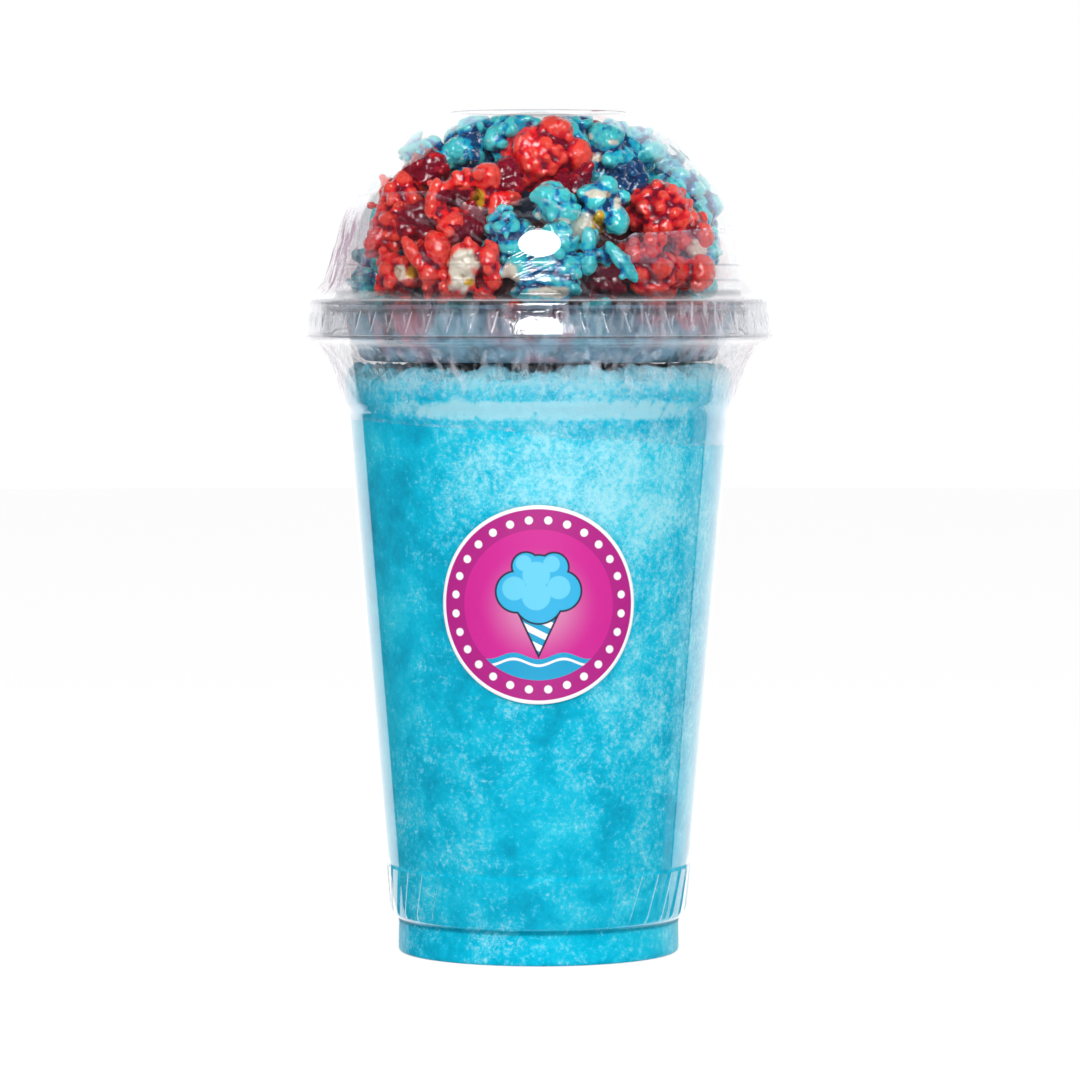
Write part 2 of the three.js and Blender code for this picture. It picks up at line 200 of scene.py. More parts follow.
# %% World
SCREEN_LEFT = math.radians(-46)
SCREEN_RIGHT = math.radians(57)
SCREEN_TOP = math.radians(44)
SCREEN_SOFT = math.radians(0.6)  # half the width of its soft side edges
SCREEN_GLOW = 1.25
FILL_START = SCREEN_RIGHT + 0.03  # a dim card beside the screen, radians like the rest
FILL_END = math.radians(74)
FILL_GLOW = 0.45
ROOM_GLOW = 0.05


def build_world():
    world = bpy.data.worlds.new("studio")
    world.use_nodes = True
    g = Graph("studio", world.node_tree)
    ray = g.add("ShaderNodeTexCoord").outputs["Generated"]
    x, y, z = g.add("ShaderNodeSeparateXYZ", {0: ray}).outputs
    around = g.math("ARCTAN2", x, y)
    left = g.step(around, SCREEN_LEFT - SCREEN_SOFT, SCREEN_LEFT + SCREEN_SOFT)
    right = g.step(around, SCREEN_RIGHT - SCREEN_SOFT, SCREEN_RIGHT + SCREEN_SOFT, 1.0, 0.0)
    fade = 3 * SCREEN_SOFT
    top = g.step(g.math("ARCSINE", z), SCREEN_TOP - fade, SCREEN_TOP + fade, 1.0, 0.0)
    fill_left = g.step(around, FILL_START, FILL_START + 0.02)
    fill_right = g.step(around, FILL_END - 0.1, FILL_END, 1.0, 0.0)
    screen = g.product(left, right, top)
    fill = g.product(fill_left, fill_right, top)
    glow = g.weighted((screen, SCREEN_GLOW), (fill, FILL_GLOW), start=ROOM_GLOW)
    lit = g.add("ShaderNodeBackground", {"Color": (1, 1, 1), "Strength": glow})
    seen = g.add("ShaderNodeBackground", {"Color": (1, 1, 1), "Strength": 1.0})
    camera_ray = g.add("ShaderNodeLightPath").outputs["Is Camera Ray"]
    g.add("ShaderNodeOutputWorld", {"Surface": g.blend(camera_ray, lit, seen)})
    scene.world = world
    return world


world = build_world()
print("screen", round(math.degrees(SCREEN_RIGHT - SCREEN_LEFT)), "degrees wide")

# %% [markdown]
# ## Lamps
# Matt sugar wants broad light from the front, but a broad lamp mirrored in the clear plastic
# would hide what is inside. So the four large washes light matt surfaces alone, and the one
# small key lamp is seen only in mirror images.

# %% Lamps


def soft_box(name, place, aim, width, height, radiance):
    """An oval lamp of a given brightness, turned towards a point. Metres."""
    lamp = bpy.data.lights.new(name, "AREA")
    lamp.shape = "ELLIPSE"
    lamp.size = width
    lamp.size_y = height
    lamp.energy = radiance * math.pi * width * height * math.pi / 4
    holder = bpy.data.objects.new(name, lamp)
    holder.location = place
    holder.rotation_euler = (Vector(aim) - Vector(place)).to_track_quat("-Z", "Y").to_euler()
    holder.visible_camera = False
    scene.collection.objects.link(holder)
    return holder


key = soft_box("key", (0.01, -1.10, 0.45), (0, 0, 0.13), 0.46, 0.42, 21)
key.visible_diffuse = False
wash = [
    soft_box("wash_front", (0.05, -1.25, 0.65), (0, 0, 0.1), 0.9, 0.9, 3.7),
    soft_box("wash_left", (-0.95, -0.85, 0.5), (0, 0, 0.09), 0.9, 0.9, 3.5),
    soft_box("wash_right", (0.95, -0.8, 0.5), (0, 0, 0.09), 0.9, 0.9, 3.3),
    soft_box("wash_top", (0, -0.5, 1.2), (0, 0, 0.1), 1.0, 0.8, 2.0),
]
for lamp in wash:
    lamp.visible_glossy = False
print("lamps", [round(lamp.data.energy, 1) for lamp in (key, *wash)])

# %% [markdown]
# ## Floor
# A plain pale table. It is left out of mirror images, so the clear walls show the screen and the
# dark room instead, as they do when the cup stands on a narrow block.

# %% Floor
FLOOR_REACH = 2.6
FLOOR_GLOW = 1.08  # what the lens sees of it, just over white
FLOOR_SHADE = 0.12  # how much of its real shading shows in that


def build_floor():
    bm = bmesh.new()
    bmesh.ops.create_circle(bm, cap_ends=True, radius=FLOOR_REACH, segments=96)
    mesh = bpy.data.meshes.new("floor")
    bm.to_mesh(mesh)
    bm.free()
    floor = bpy.data.objects.new("floor", mesh)
    scene.collection.objects.link(floor)
    g = Graph("floor")
    grain = g.noise(g.millimetres(), 0.02, 3)
    pale = g.mix(grain, (0.86, 0.86, 0.865), (0.84, 0.84, 0.845))
    board = g.add("ShaderNodeBsdfDiffuse", {"Color": pale})
    glow = g.add("ShaderNodeEmission", {"Color": (1, 1, 1), "Strength": FLOOR_GLOW})
    camera_ray = g.add("ShaderNodeLightPath").outputs["Is Camera Ray"]
    surface = g.blend(camera_ray, board, g.blend(FLOOR_SHADE, glow, board))
    mesh.materials.append(g.out(surface))
    floor.visible_glossy = False
    return floor


floor = build_floor()
print("floor", round(floor.dimensions.x, 2), "m across")

# %% [markdown]
# ## Turned shapes
# Cup, lid, tray and film are all made over round moulds, so each is a grid of points: one row for
# each height and one column for each angle. Angles run from the front towards +X. A function can
# push any point in or out, which gives ribs, teeth and wrinkles without leaving the grid.

# %% Turned shapes


def piece(name, mesh, material, node):
    """Puts a mesh in the scene as a finished piece that stands for a node of the frame."""
    for polygon in mesh.polygons:
        polygon.use_smooth = True
    thing = bpy.data.objects.new(name, mesh)
    scene.collection.objects.link(thing)
    if material:
        mesh.materials.append(material)
    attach(thing, "root")
    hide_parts(node)
    print(name, len(mesh.vertices), "points", len(mesh.polygons), "faces")
    return thing


def angles(columns):
    return np.linspace(0, 2 * np.pi, columns, endpoint=False)


def grid_points(radius, height, around):
    """Points in metres for a grid of radii and heights in millimetres."""
    x = radius * np.sin(around)
    y = -radius * np.cos(around)
    return np.stack([x, y, np.broadcast_to(height, x.shape)], axis=-1) * MM


def grid_faces(rows, columns, offset=0):
    low = np.arange(rows - 1)[:, None] * columns
    here = np.arange(columns)[None, :]
    after = (here + 1) % columns
    faces = np.stack([low + here, low + after, low + columns + after, low + columns + here], -1)
    return faces.reshape(-1, 4) + offset


def mesh_from(name, points, faces):
    mesh = bpy.data.meshes.new(name)
    mesh.from_pydata([tuple(p) for p in points], [], [tuple(int(i) for i in f) for f in faces])
    mesh.validate()
    mesh.update()
    return mesh


def turned(name, patches):
    """One mesh from patches of (radius, height, caps). A cap closes a row onto the axis."""
    points, faces = [], []
    count = 0
    for radius, height, caps in patches:
        moved = np.abs(np.diff(radius, axis=0)) + np.abs(np.diff(height, axis=0))
        apart = np.append(True, moved.max(axis=1) > 1e-6)
        radius, height = radius[apart], height[apart]
        rows, columns = radius.shape
        points.append(grid_points(radius, height, angles(columns)).reshape(-1, 3))
        faces += grid_faces(rows, columns, count).tolist()
        for end, row in (("low", 0), ("high", rows - 1)):
            if end in caps:
                ring = [count + row * columns + i for i in range(columns)]
                faces.append(ring if end == "high" else ring[::-1])
        count += rows * columns
    return mesh_from(name, np.concatenate(points), faces)


def smooth_patch(path, columns):
    """A patch for turned() that has the same outline at every angle."""
    path = np.array(path)
    return np.repeat(path[:, :1], columns, 1), np.repeat(path[:, 1:], columns, 1), []


def along(profile, spacing):
    """Points every `spacing` mm along a path of (radius, height), corners kept."""
    path = [profile[0]]
    for (r0, z0), (r1, z1) in zip(profile, profile[1:]):
        parts = max(1, round(math.hypot(r1 - r0, z1 - z0) / spacing))
        for i in range(1, parts + 1):
            path.append((r0 + (r1 - r0) * i / parts, z0 + (z1 - z0) * i / parts))
    return np.array(path)


def curve(start, pull, end, parts=8):
    """A rounded corner from start to end, drawn towards pull."""
    share = np.linspace(0, 1, parts + 1)[:, None]
    start, pull, end = (np.array(p, float) for p in (start, pull, end))
    bend = (1 - share) ** 2 * start + 2 * share * (1 - share) * pull + share**2 * end
    return [tuple(p) for p in bend]


def rise(value, low, high):
    """0 below low, 1 above high, smooth between. Works on arrays."""
    share = np.clip((value - low) / (high - low), 0, 1)
    return share * share * (3 - 2 * share)


def window(value, start, full, still, end):
    """Rises from 0 at start to 1 at full, and falls again from still to end."""
    return rise(value, start, full) * rise(-value, -end, -still)


def paint(mesh, name, values):
    """Gives each point of a mesh a value that its material can read."""
    mesh.attributes.new(name, "FLOAT", "POINT").data.foreach_set("value", np.ravel(values))


def places(mesh):
    """Radius and height of each point of a mesh in millimetres."""
    flat = np.empty(len(mesh.vertices) * 3)
    mesh.vertices.foreach_get("co", flat)
    points = flat.reshape(-1, 3) / MM
    return np.hypot(points[:, 0], points[:, 1]), points[:, 2]


print("a quarter circle in 8 parts", len(curve((1, 0), (1, 1), (0, 1))), "points")

# %% [markdown]
# ## Clear plastic
# Thin clear sheet hardly bends light: what it does is mirror. It mirrors about a twelfth of the
# light face-on, both faces together, and nearly all of it at a glancing angle. So the sheet is a
# see-through shader under a mirror whose share follows Schlick's curve. A Fresnel node could give
# that curve too, but on a single surface it turns round where the back is seen. Seen edge-on, the
# light runs a long way inside the sheet and loses some of its brightness, which draws the dark
# outline. The mesh says where, by a painted value called seam.

# %% Clear plastic
FACE_MIRROR = 0.04  # what one face mirrors when it is seen face-on
SEAM_TONE = (0.3, 0.32, 0.36)


def mirror_share(g, face_on):
    """How much a thin sheet mirrors, both faces together, the same seen from either side."""
    one = g.weighted((g.math("POWER", g.facing(), 5.0), 1 - face_on), start=face_on)
    return g.math("DIVIDE", g.math("MULTIPLY", one, 2.0), g.math("ADD", one, 1.0), clamp=True)


def sheet_shader(g, tint, edge, mirroring):
    """See-through sheet under its mirror. Seams mirror less and let less light through."""
    seam = g.painted("seam")
    colour = g.mix(g.math("POWER", g.facing(), 6.0), tint, edge)
    through = g.add("ShaderNodeBsdfTransparent", {"Color": g.mix(seam, colour, SEAM_TONE)})
    mirror = g.add("ShaderNodeBsdfGlossy", {"Color": (1, 1, 1), "Roughness": 0.025})
    return g.blend(g.product(mirroring, g.math("SUBTRACT", 1.0, seam)), through, mirror)


# %% [markdown]
# The three clear parts differ in what disturbs the clear sheet. The cup's foot lies close on the
# sugar and mirrors little, and so do the upper ends of its ribs. On the lid, white is painted over
# the sheet as painted light along its outline, under the flange and on the edges of its teeth, where
# light that runs inside it comes out. The tray is scuffed to a grey bloom, and the colours of the
# popcorn and sugar that it scatters are painted into it.

# %% The three clear parts
FOOT_EDGE = 7.6
FLUTE_CREST = 19.1
FLANGE_FADE = (132.5, 133.5, 142.2, 144.0)
TRAY_HAZE = 0.75


def cup_sheet():
    g = Graph("cup_clear")
    up = g.height()
    off_crest = g.math("ABSOLUTE", g.math("SUBTRACT", up, FLUTE_CREST))
    mirroring = g.product(
        mirror_share(g, FACE_MIRROR),
        g.step(up, FOOT_EDGE - 0.4, FOOT_EDGE + 0.4, 0.25, 1.0),
        g.step(off_crest, 0.3, 0.6, 0.1, 1.0),
    )
    return g.out(sheet_shader(g, (0.985, 0.99, 0.99), (0.82, 0.86, 0.88), mirroring))


def lid_sheet():
    g = Graph("lid_clear")
    sheet = sheet_shader(g, (0.98, 0.985, 0.985), (0.88, 0.89, 0.92), mirror_share(g, FACE_MIRROR))
    white = g.add("ShaderNodeBsdfDiffuse", {"Color": (0.93, 0.94, 0.97)})
    start, full, still, end = FLANGE_FADE
    up = g.height()
    flange = g.product(g.step(up, start, full), g.step(up, still, end, 1.0, 0.0))
    # painted light: white along the outline, under the flange and on the teeth's lit flanks
    outline = g.product(g.math("POWER", g.facing(), 8.0), 0.06)
    under_flange = g.product(g.math("POWER", g.facing(), 1.6), flange, 0.6)
    glow = g.math("MAXIMUM", outline, under_flange)
    return g.out(g.blend(g.math("MAXIMUM", glow, g.painted("glint")), sheet, white))


def tray_sheet():
    g = Graph("tray_clear")
    sheet = sheet_shader(g, (0.93, 0.94, 0.95), (0.7, 0.72, 0.75), mirror_share(g, FACE_MIRROR))
    scuffs = g.noise(g.millimetres(stretch=(1, 1, 0.6)), 0.2, 3, 0.6, 0.6)
    share = g.step(scuffs, 0.35, 0.65, 0.6 * TRAY_HAZE, TRAY_HAZE)
    # painted light: rosy, blue and dark drifts stand for the popcorn and sugar colours scattered by
    # the scuffs
    rosy = g.step(g.noise(g.millimetres(), 0.06, 2, 0.5), 0.5, 0.6)
    dim = g.step(g.noise(g.millimetres(), 0.13, 3, 0.6, 0.5), 0.52, 0.66)
    tone = g.mix(rosy, (0.36, 0.58, 0.74), (0.66, 0.4, 0.5))
    bloom = g.add("ShaderNodeBsdfDiffuse", {"Color": g.mix(dim, tone, (0.16, 0.3, 0.38))})
    return g.out(g.blend(share, sheet, bloom))


cup_plastic, lid_plastic, tray_plastic = cup_sheet(), lid_sheet(), tray_sheet()
print("sheets", [len(m.node_tree.nodes) for m in (cup_plastic, lid_plastic, tray_plastic)], "nodes")

# %% [markdown]
# ## The cup
# It is drawn from one sheet over a mould: a straight taper, a small outward step near the top
# that keeps stacked cups from jamming, and a band of leaning ribs above the foot that makes the
# thin wall stiff. The wall's radius is a function of height, because the sugar, the sticker and
# the film all follow it too.

# %% Cup
AXIS = 0.2  # radius of the small ring in the middle of a closed end
PUNT = (26.4, 1.2)  # radius and height where the raised bottom ends
FOOT_RADIUS = 30.7
FOOT_WAIST = 6.9
LEDGE = (31.5, 8.1)
BELLY_LOW = (32.27, 10.8)  # where the straight taper starts
TAPER = 0.0856
STACK_Z = 117.6
COLLAR_LOW = (42.2, 120.0)
COLLAR_HIGH = (45.1, 137.4)
LIP_Z = 140.1
FLUTES = 40
FLUTE_BAND = (8.3, 18.9)
FLUTE_TOP = 19.9
FLUTE_LEAN = math.tan(math.radians(16))
FLUTE_HEIGHT = 0.34
FLUTE_HALF = 0.45
BAND_SINK = 0.16  # how deep the band of ribs lies in the wall


def cup_radius(z):
    wall = BELLY_LOW[0] + (np.minimum(z, STACK_Z) - BELLY_LOW[1]) * TAPER
    share = np.clip((z - COLLAR_LOW[1]) / (COLLAR_HIGH[1] - COLLAR_LOW[1]), 0, 1)
    collar = COLLAR_LOW[0] + share * (COLLAR_HIGH[0] - COLLAR_LOW[0])
    return wall + (collar - wall) * rise(z, STACK_Z, COLLAR_LOW[1])


def flutes(around, z):
    """Leaning ribs with a narrow crest, in a band set slightly into the wall. Millimetres."""
    low, high = FLUTE_BAND
    lean = FLUTE_LEAN * (z - low) / FOOT_RADIUS
    pitch = 2 * np.pi / FLUTES
    reach = (((around - lean) / pitch + 0.5) % 1 - 0.5) * pitch * FOOT_RADIUS
    crest = FLUTE_HEIGHT * np.exp(-((reach / FLUTE_HALF) ** 2))
    return window(z, low, low + 1.2, high, high + 0.3) * (crest - BAND_SINK)


def foot_outline():
    """From the raised bottom over the ring and the ledge up to the ribs' upper end."""
    path = [(AXIS, PUNT[1]), PUNT] + curve(PUNT, (27.2, 0), (28, 0), 5)
    path += curve((29.8, 0), (FOOT_RADIUS, 0), (FOOT_RADIUS + 0.05, 0.9), 6)
    path += [(FOOT_RADIUS - 0.14, FOOT_WAIST - 0.4), (FOOT_RADIUS - 0.15, FOOT_WAIST)]
    path += curve((FOOT_RADIUS - 0.1, FOOT_WAIST + 0.2), (30.8, 7.6), LEDGE, 4)
    path += curve(LEDGE, (32.1, 8.8), BELLY_LOW, 5)
    edge = FLUTE_BAND[1]
    band = [*np.arange(11.1, edge - 0.1, 0.3), *(edge + np.linspace(0, 0.4, 5)), FLUTE_TOP]
    return np.array(path + [(float(cup_radius(z)), z) for z in band])


def wall_outline():
    """The taper, the stacking step, the flared collar and the rolled lip."""
    stretches = [(FLUTE_TOP, STACK_Z, 14), (STACK_Z, COLLAR_LOW[1], 9)]
    stretches += [(COLLAR_LOW[1], COLLAR_HIGH[1], 9)]
    heights = [FLUTE_TOP]
    for low, high, count in stretches:
        heights += [*np.linspace(low, high, count)[1:]]
    path = [(float(cup_radius(z)), z) for z in heights]
    path += curve(path[-1], (45.3, LIP_Z - 0.5), (47.0, LIP_Z), 6)
    return path + curve((47.2, LIP_Z), (48.5, LIP_Z), (48.6, LIP_Z - 0.9), 6)


def build_cup():
    foot = foot_outline()
    radius = foot[:, :1] + flutes(angles(960)[None, :], foot[:, 1:])
    ribbed = (radius, np.broadcast_to(foot[:, 1:], radius.shape), ["low"])
    mesh = turned("cup_wall", [ribbed, smooth_patch(wall_outline(), 240)])
    radius, height = places(mesh)
    lip = window(radius, 45.2, 45.6, 46.5, 47.0) * (height > COLLAR_HIGH[1])
    step = window(height, 6.6, 7.0, 7.6, 8.0) * (radius > 30)
    paint(mesh, "seam", 0.75 * lip + 0.45 * step)
    return piece("cup_wall", mesh, cup_plastic, "cup")


cup = build_cup()

# %% [markdown]
# ## The dome lid
# A dome with a flat top, a short upright neck, a flange and a skirt that snaps over the cup's
# rim. Two fine rings mark the neck. The skirt carries a row of small V-shaped teeth, so its grid
# is much finer than the dome's. One flank of each tooth is painted with a highlight and the other
# with shade, and the teeth differ in how strongly, as on a real lid.

# %% Dome lid
NECK_RADIUS = 43.9
NECK_TOP = 149.6
NECK_RINGS = (146.0, NECK_TOP - 0.3)
RING_PROUD = 0.16
DOME_RISE = 36.1
DOME_TOP = 182.2
FLANGE_Z = 141.7
FLANGE_OUTER = 48.6
FLANGE_INNER = 45.3
SKIRT_TOP = (49.6, 140.8)
SKIRT_LOW = (50.5, 134.0)
SKIRT_COLUMNS = 1600
LID_COLUMNS = 240
HEM_RADIUS = 0.32
TEETH = 64
TOOTH_TOP = 139.3
TOOTH_DROP = 4.4
TOOTH_HALF = 1.25
TOOTH_DEPTH = 0.42
FLANK = 0.14  # width of the bright line along a tooth's flank


def dome_radius(z):
    share = np.clip((np.asarray(z, float) - NECK_TOP) / DOME_RISE, 0, 0.999)
    return NECK_RADIUS * np.sqrt(1 - share * share)


def bell(value, width):
    return np.exp(-((value / width) ** 2))


def teeth(around, z):
    """Height of the V-shaped teeth on the skirt, and where their edges get a painted highlight and
    shade.
    """
    pitches = around * TEETH / (2 * np.pi) + 0.5
    reach = SKIRT_TOP[0] * (pitches % 1 - 0.5) * 2 * np.pi / TEETH
    drop = (TOOTH_TOP - z) / TOOTH_DROP
    half = TOOTH_HALF * (1 - drop)
    inside = np.minimum(half - np.abs(reach), (TOOTH_TOP - z) * 0.8)
    scatter = np.sin(np.floor(pitches) * 12.9898) * 43758.5453 % 1
    level = (0.35 + 0.65 * scatter) * (drop > 0) * (drop < 1)
    outward = np.where(around < np.pi, -reach, reach)
    # painted highlight on one flank of each tooth, painted shade on the other
    lit = level * (bell(outward - half, FLANK) + 0.35 * bell(outward + half, FLANK))
    shade = level * bell(outward - half + 0.36, 0.18)
    return TOOTH_DEPTH * rise(inside, 0, 0.75), lit, shade


# %% [markdown]
# The lid is put together from four stretches: the toothed skirt on its fine grid, the shoulder
# above it, the flange with neck and dome, and the rolled hem below. They share their end points,
# so no seam shows.

# %% The lid's stretches


def skirt_outline():
    """Nearly upright above, swinging out towards the hem."""
    path = along([SKIRT_LOW, SKIRT_TOP], 0.22)
    share = (SKIRT_TOP[1] - path[:, 1]) / (SKIRT_TOP[1] - SKIRT_LOW[1])
    path[:, 0] = SKIRT_TOP[0] + (SKIRT_LOW[0] - SKIRT_TOP[0]) * share**3
    return path


def hem_outline():
    turn = np.linspace(0, 2 * np.pi, 11)
    middle = SKIRT_LOW[0] - 0.05
    across, up = HEM_RADIUS * np.cos(turn), HEM_RADIUS * np.sin(turn)
    return np.stack([middle + across, SKIRT_LOW[1] + up], -1)


def neck_outline():
    """Flange, the tight curve into the neck, and the neck with its two fine rings."""
    path = [(FLANGE_OUTER, FLANGE_Z), (FLANGE_INNER, FLANGE_Z)]
    path += curve(path[-1], (44.3, FLANGE_Z), (NECK_RADIUS, FLANGE_Z + 1.3), 6)
    path += [(NECK_RADIUS, FLANGE_Z + 1.6), (NECK_RADIUS, FLANGE_Z + 2.4)]
    proud = NECK_RADIUS + RING_PROUD
    for z in NECK_RINGS:
        path += [(NECK_RADIUS, z - 0.75), (NECK_RADIUS, z - 0.45), (proud, z - 0.25)]
        path += [(proud, z), (NECK_RADIUS, z + 0.2), (NECK_RADIUS, z + 0.4)]
    return path


def dome_outline():
    """A quarter ellipse, cut off by the flat top."""
    tilt = np.linspace(0, math.asin((DOME_TOP - NECK_TOP) / DOME_RISE), 40)[1:]
    path = [(NECK_RADIUS * math.cos(t), NECK_TOP + DOME_RISE * math.sin(t)) for t in tilt]
    flat = path[-1][0]
    path += [(flat - 0.25, DOME_TOP + 0.05), (flat - 0.8, DOME_TOP)]
    return path + [(flat * 0.6, DOME_TOP - 0.05), (AXIS, DOME_TOP - 0.1)], flat


def lid_seams(radius, height, flat):
    """Where the sheet turns sharply and is seen along its own thickness."""
    top_edge = (height > DOME_TOP - 0.2) & (radius > flat - 0.6)
    low_edge = (height < SKIRT_LOW[1] + 0.05) & (radius > SKIRT_LOW[0] - 0.3)
    rings = np.abs(radius - NECK_RADIUS - RING_PROUD) < 0.05
    rings &= (height > 144) & (height < 150)
    foot_of_neck = (height > FLANGE_Z + 0.7) & (height < FLANGE_Z + 2) & (radius < FLANGE_INNER)
    shoulder = (height > SKIRT_TOP[1] - 0.2) & (height < FLANGE_Z + 0.05) & (radius > 48.5)
    return 0.75 * top_edge + 0.8 * low_edge + 0.3 * rings + 0.65 * (foot_of_neck | shoulder)


print("flat top", round(2 * dome_outline()[1], 1), "mm across")

# %% The lid in one


def build_lid():
    skirt = skirt_outline()
    raised, lit, shade = teeth(angles(SKIRT_COLUMNS)[None, :], skirt[:, 1:])
    radius = skirt[:, :1] + raised
    patches = [(radius, np.broadcast_to(skirt[:, 1:], radius.shape), [])]
    shoulder = curve(SKIRT_TOP, (SKIRT_TOP[0], FLANGE_Z), (FLANGE_OUTER, FLANGE_Z), 5)
    dome, flat = dome_outline()
    for path in (shoulder, neck_outline() + dome, hem_outline()):
        patches.append(smooth_patch(path, LID_COLUMNS))
    mesh = turned("lid_dome", patches)
    seam = lid_seams(*places(mesh), flat)
    # painted shade on each tooth's dark flank joins the seam, and the painted highlight on its lit
    # flank is the glint
    seam[:shade.size] += 0.5 * shade.ravel()
    glint = np.zeros(len(seam))
    glint[:lit.size] = 0.75 * lit.ravel()
    paint(mesh, "seam", seam.clip(0, 1))
    paint(mesh, "glint", glint)
    return piece("lid_dome", mesh, lid_plastic, "dome_lid")


lid = build_lid()

# %% [markdown]
# ## The popcorn tray
# A shallow clear tray hangs by its rim between cup and lid and carries the popcorn. Only its
# wall and floor show, as grey bands under the flange.

# %% Tray
TRAY_FLOOR_Z = 128.4
TRAY_FLOOR_RADIUS = 38.6
TRAY_MOUTH_RADIUS = 43.5
TRAY_RIM_RADIUS = 48.0
TRAY_RIM_Z = 140.7
TRAY_COLUMNS = 160


def build_tray():
    out, up = TRAY_FLOOR_RADIUS, TRAY_FLOOR_Z
    path = [(AXIS, up + 0.4), (out - 6, up + 0.4), (out - 5, up), (out - 2.2, up)]
    path += curve(path[-1], (out, up), (out + 0.5, up + 2.2), 6)
    path += [(out + 1.2, up + 3.6), (out + 1.8, up + 3.8)]
    path += [(TRAY_MOUTH_RADIUS, TRAY_RIM_Z), (TRAY_RIM_RADIUS, TRAY_RIM_Z)]
    mesh = turned("popcorn_tray", [smooth_patch(along(path, 1.2), TRAY_COLUMNS)])
    radius, height = places(mesh)
    # painted shadow: the lower corner is darkened as the shade above the sugar, besides the sheet
    # turning there
    corner = (radius > out - 3) * rise(-height, -up - 2.4, -up - 0.6)
    paint(mesh, "seam", 0.8 * corner)
    return piece("popcorn_tray", mesh, tray_plastic, "tray")


tray = build_tray()

# %% [markdown]
# ## The film band
# A sleeve of thin film is slipped over lid and cup and shrunk with hot air. It clings to the
# dome above and to the cup below, and bridges the hollow under the flange, where it gathers in
# upright wrinkles. Its cut edges run unevenly. So its outline is one line of radius against
# height whose ends move with the angle, and the wrinkles are strongest where it bridges.

# %% The film's outline
FILM_EDGE_TOP = [(-150, 161.5), (-75, 164.3), (-38, 164.6), (-14, 161), (-1, 163.4), (10, 160.5),
                 (23, 154.2), (28, 155.8), (62, 157), (100, 156.2), (150, 158.8)]
FILM_EDGE_LOW = [(-120, 115.2), (-70, 116), (-20, 114.8), (15, 112.6), (60, 110.6), (110, 110.2),
                 (170, 113.2)]
OVER_NECK = [(44.9, 151.0), (45.7, 148.3), (46.6, 145.6), (48.3, 143.3), (49.7, 142.2), (50.2, 141.5)]
OVER_SKIRT = [(50.38, 141.15), (50.41, 140.85), (50.44, 139.5), (50.48, 137.8), (50.6, 136.4),
              (50.95, 134.7), (50.95, 133.7), (49.9, 133.1)]
UNDER_FLANGE = [(47.9, 132.3), (46.9, 131.3), (46.1, 130.0), (45.1, 128.2), (44.4, 126.4),
                (43.85, 124.6), (43.4, 122.8), (43.0, 121.0), (42.55, 119.3), (41.85, 117.6)]
FILM_GAP = 0.25  # from the wall that it clings to
FILM_COLUMNS = 720


def edge_at(edge, around):
    """Height of an uneven cut edge at each angle, from a closed list of (degrees, height)."""
    degrees = [edge[-1][0] - 360] + [d for d, _ in edge] + [edge[0][0] + 360]
    height = np.array([edge[-1][1]] + [h for _, h in edge] + [edge[0][1]])
    turn = (np.degrees(around) + 180) % 360 - 180
    place = np.interp(turn, degrees, np.arange(len(degrees)))
    low = np.clip(np.floor(place).astype(int), 0, len(degrees) - 2)
    share = place - low
    return height[low] + (height[low + 1] - height[low]) * share * share * (3 - 2 * share)


def ridges(around, z, seed, waves, lean=0.0):
    """Sharp-crested wrinkles, 0 to 1, that run up the film and fade in and out."""
    turned_by = around + lean * z
    value = np.array([
        noise.noise(Vector((waves * math.cos(a), waves * math.sin(a), 0.03 * zz + seed)))
        for a, zz in zip(turned_by.ravel(), z.ravel())
    ]).reshape(around.shape)
    return (1 - np.abs(value) * 2.2).clip(0, 1) ** 3


def film_outline(top, low):
    """Radius and height at each angle, from the edge on the dome to the edge on the cup."""
    bridge = along(OVER_NECK + OVER_SKIRT + UNDER_FLANGE, 0.9)
    upper = np.linspace(0, 1, 13)[:, None]
    upper_z = top + (bridge[0, 1] - top) * upper
    upper_r = np.maximum(dome_radius(upper_z) + FILM_GAP, 0) + 0.75 * rise(upper, 0.7, 1.0)
    lower = np.linspace(0, 1, 9)[1:, None]
    lower_z = bridge[-1, 1] + (low - bridge[-1, 1]) * lower
    lower_r = cup_radius(lower_z) + FILM_GAP
    across = np.ones(FILM_COLUMNS)
    radius = np.concatenate([upper_r[:-1], bridge[:, :1] * across, lower_r])
    height = np.concatenate([upper_z[:-1], bridge[:, 1:] * across, lower_z])
    return radius, height


print("upper edge", min(FILM_EDGE_TOP, key=lambda e: e[1])[1], "mm at its lowest")

# %% [markdown]
# Where the film is gathered it looks milky, and where two layers lie over each other it is a
# little darker. Some of the white and grey is painted light: highlights along the cut edges, glare
# at the sides, and a flange painted brighter on the right than on the left. These places are
# painted on the points too: veil for white, mist for the greyish parts, and gather for the fan of
# slanting creases at the front of the neck.

# %% The film's wrinkles and cloudy places


def film_veil(degrees, height, top, low, waist, neck, folds):
    """White where the film is gathered and over the flange, its milky haze, with painted light:
    highlights along the cut edges, and the flange brighter right than left.
    """
    # painted highlight: a thin bright line along both cut edges
    rim = bell(height - top, 0.5) + bell(height - low, 0.5)
    flange = window(height, 133.2, 134, 141, 142)
    veil = waist * (0.3 + 0.6 * folds.clip(0, 1)) + 0.1 * neck * folds + 0.6 * rim + 0.45 * flange
    # painted light: the flange brighter on the right and dimmer on the left
    return veil + 0.6 * flange * rise(degrees, 20, 45) - 0.4 * flange * rise(-degrees, 15, 40)


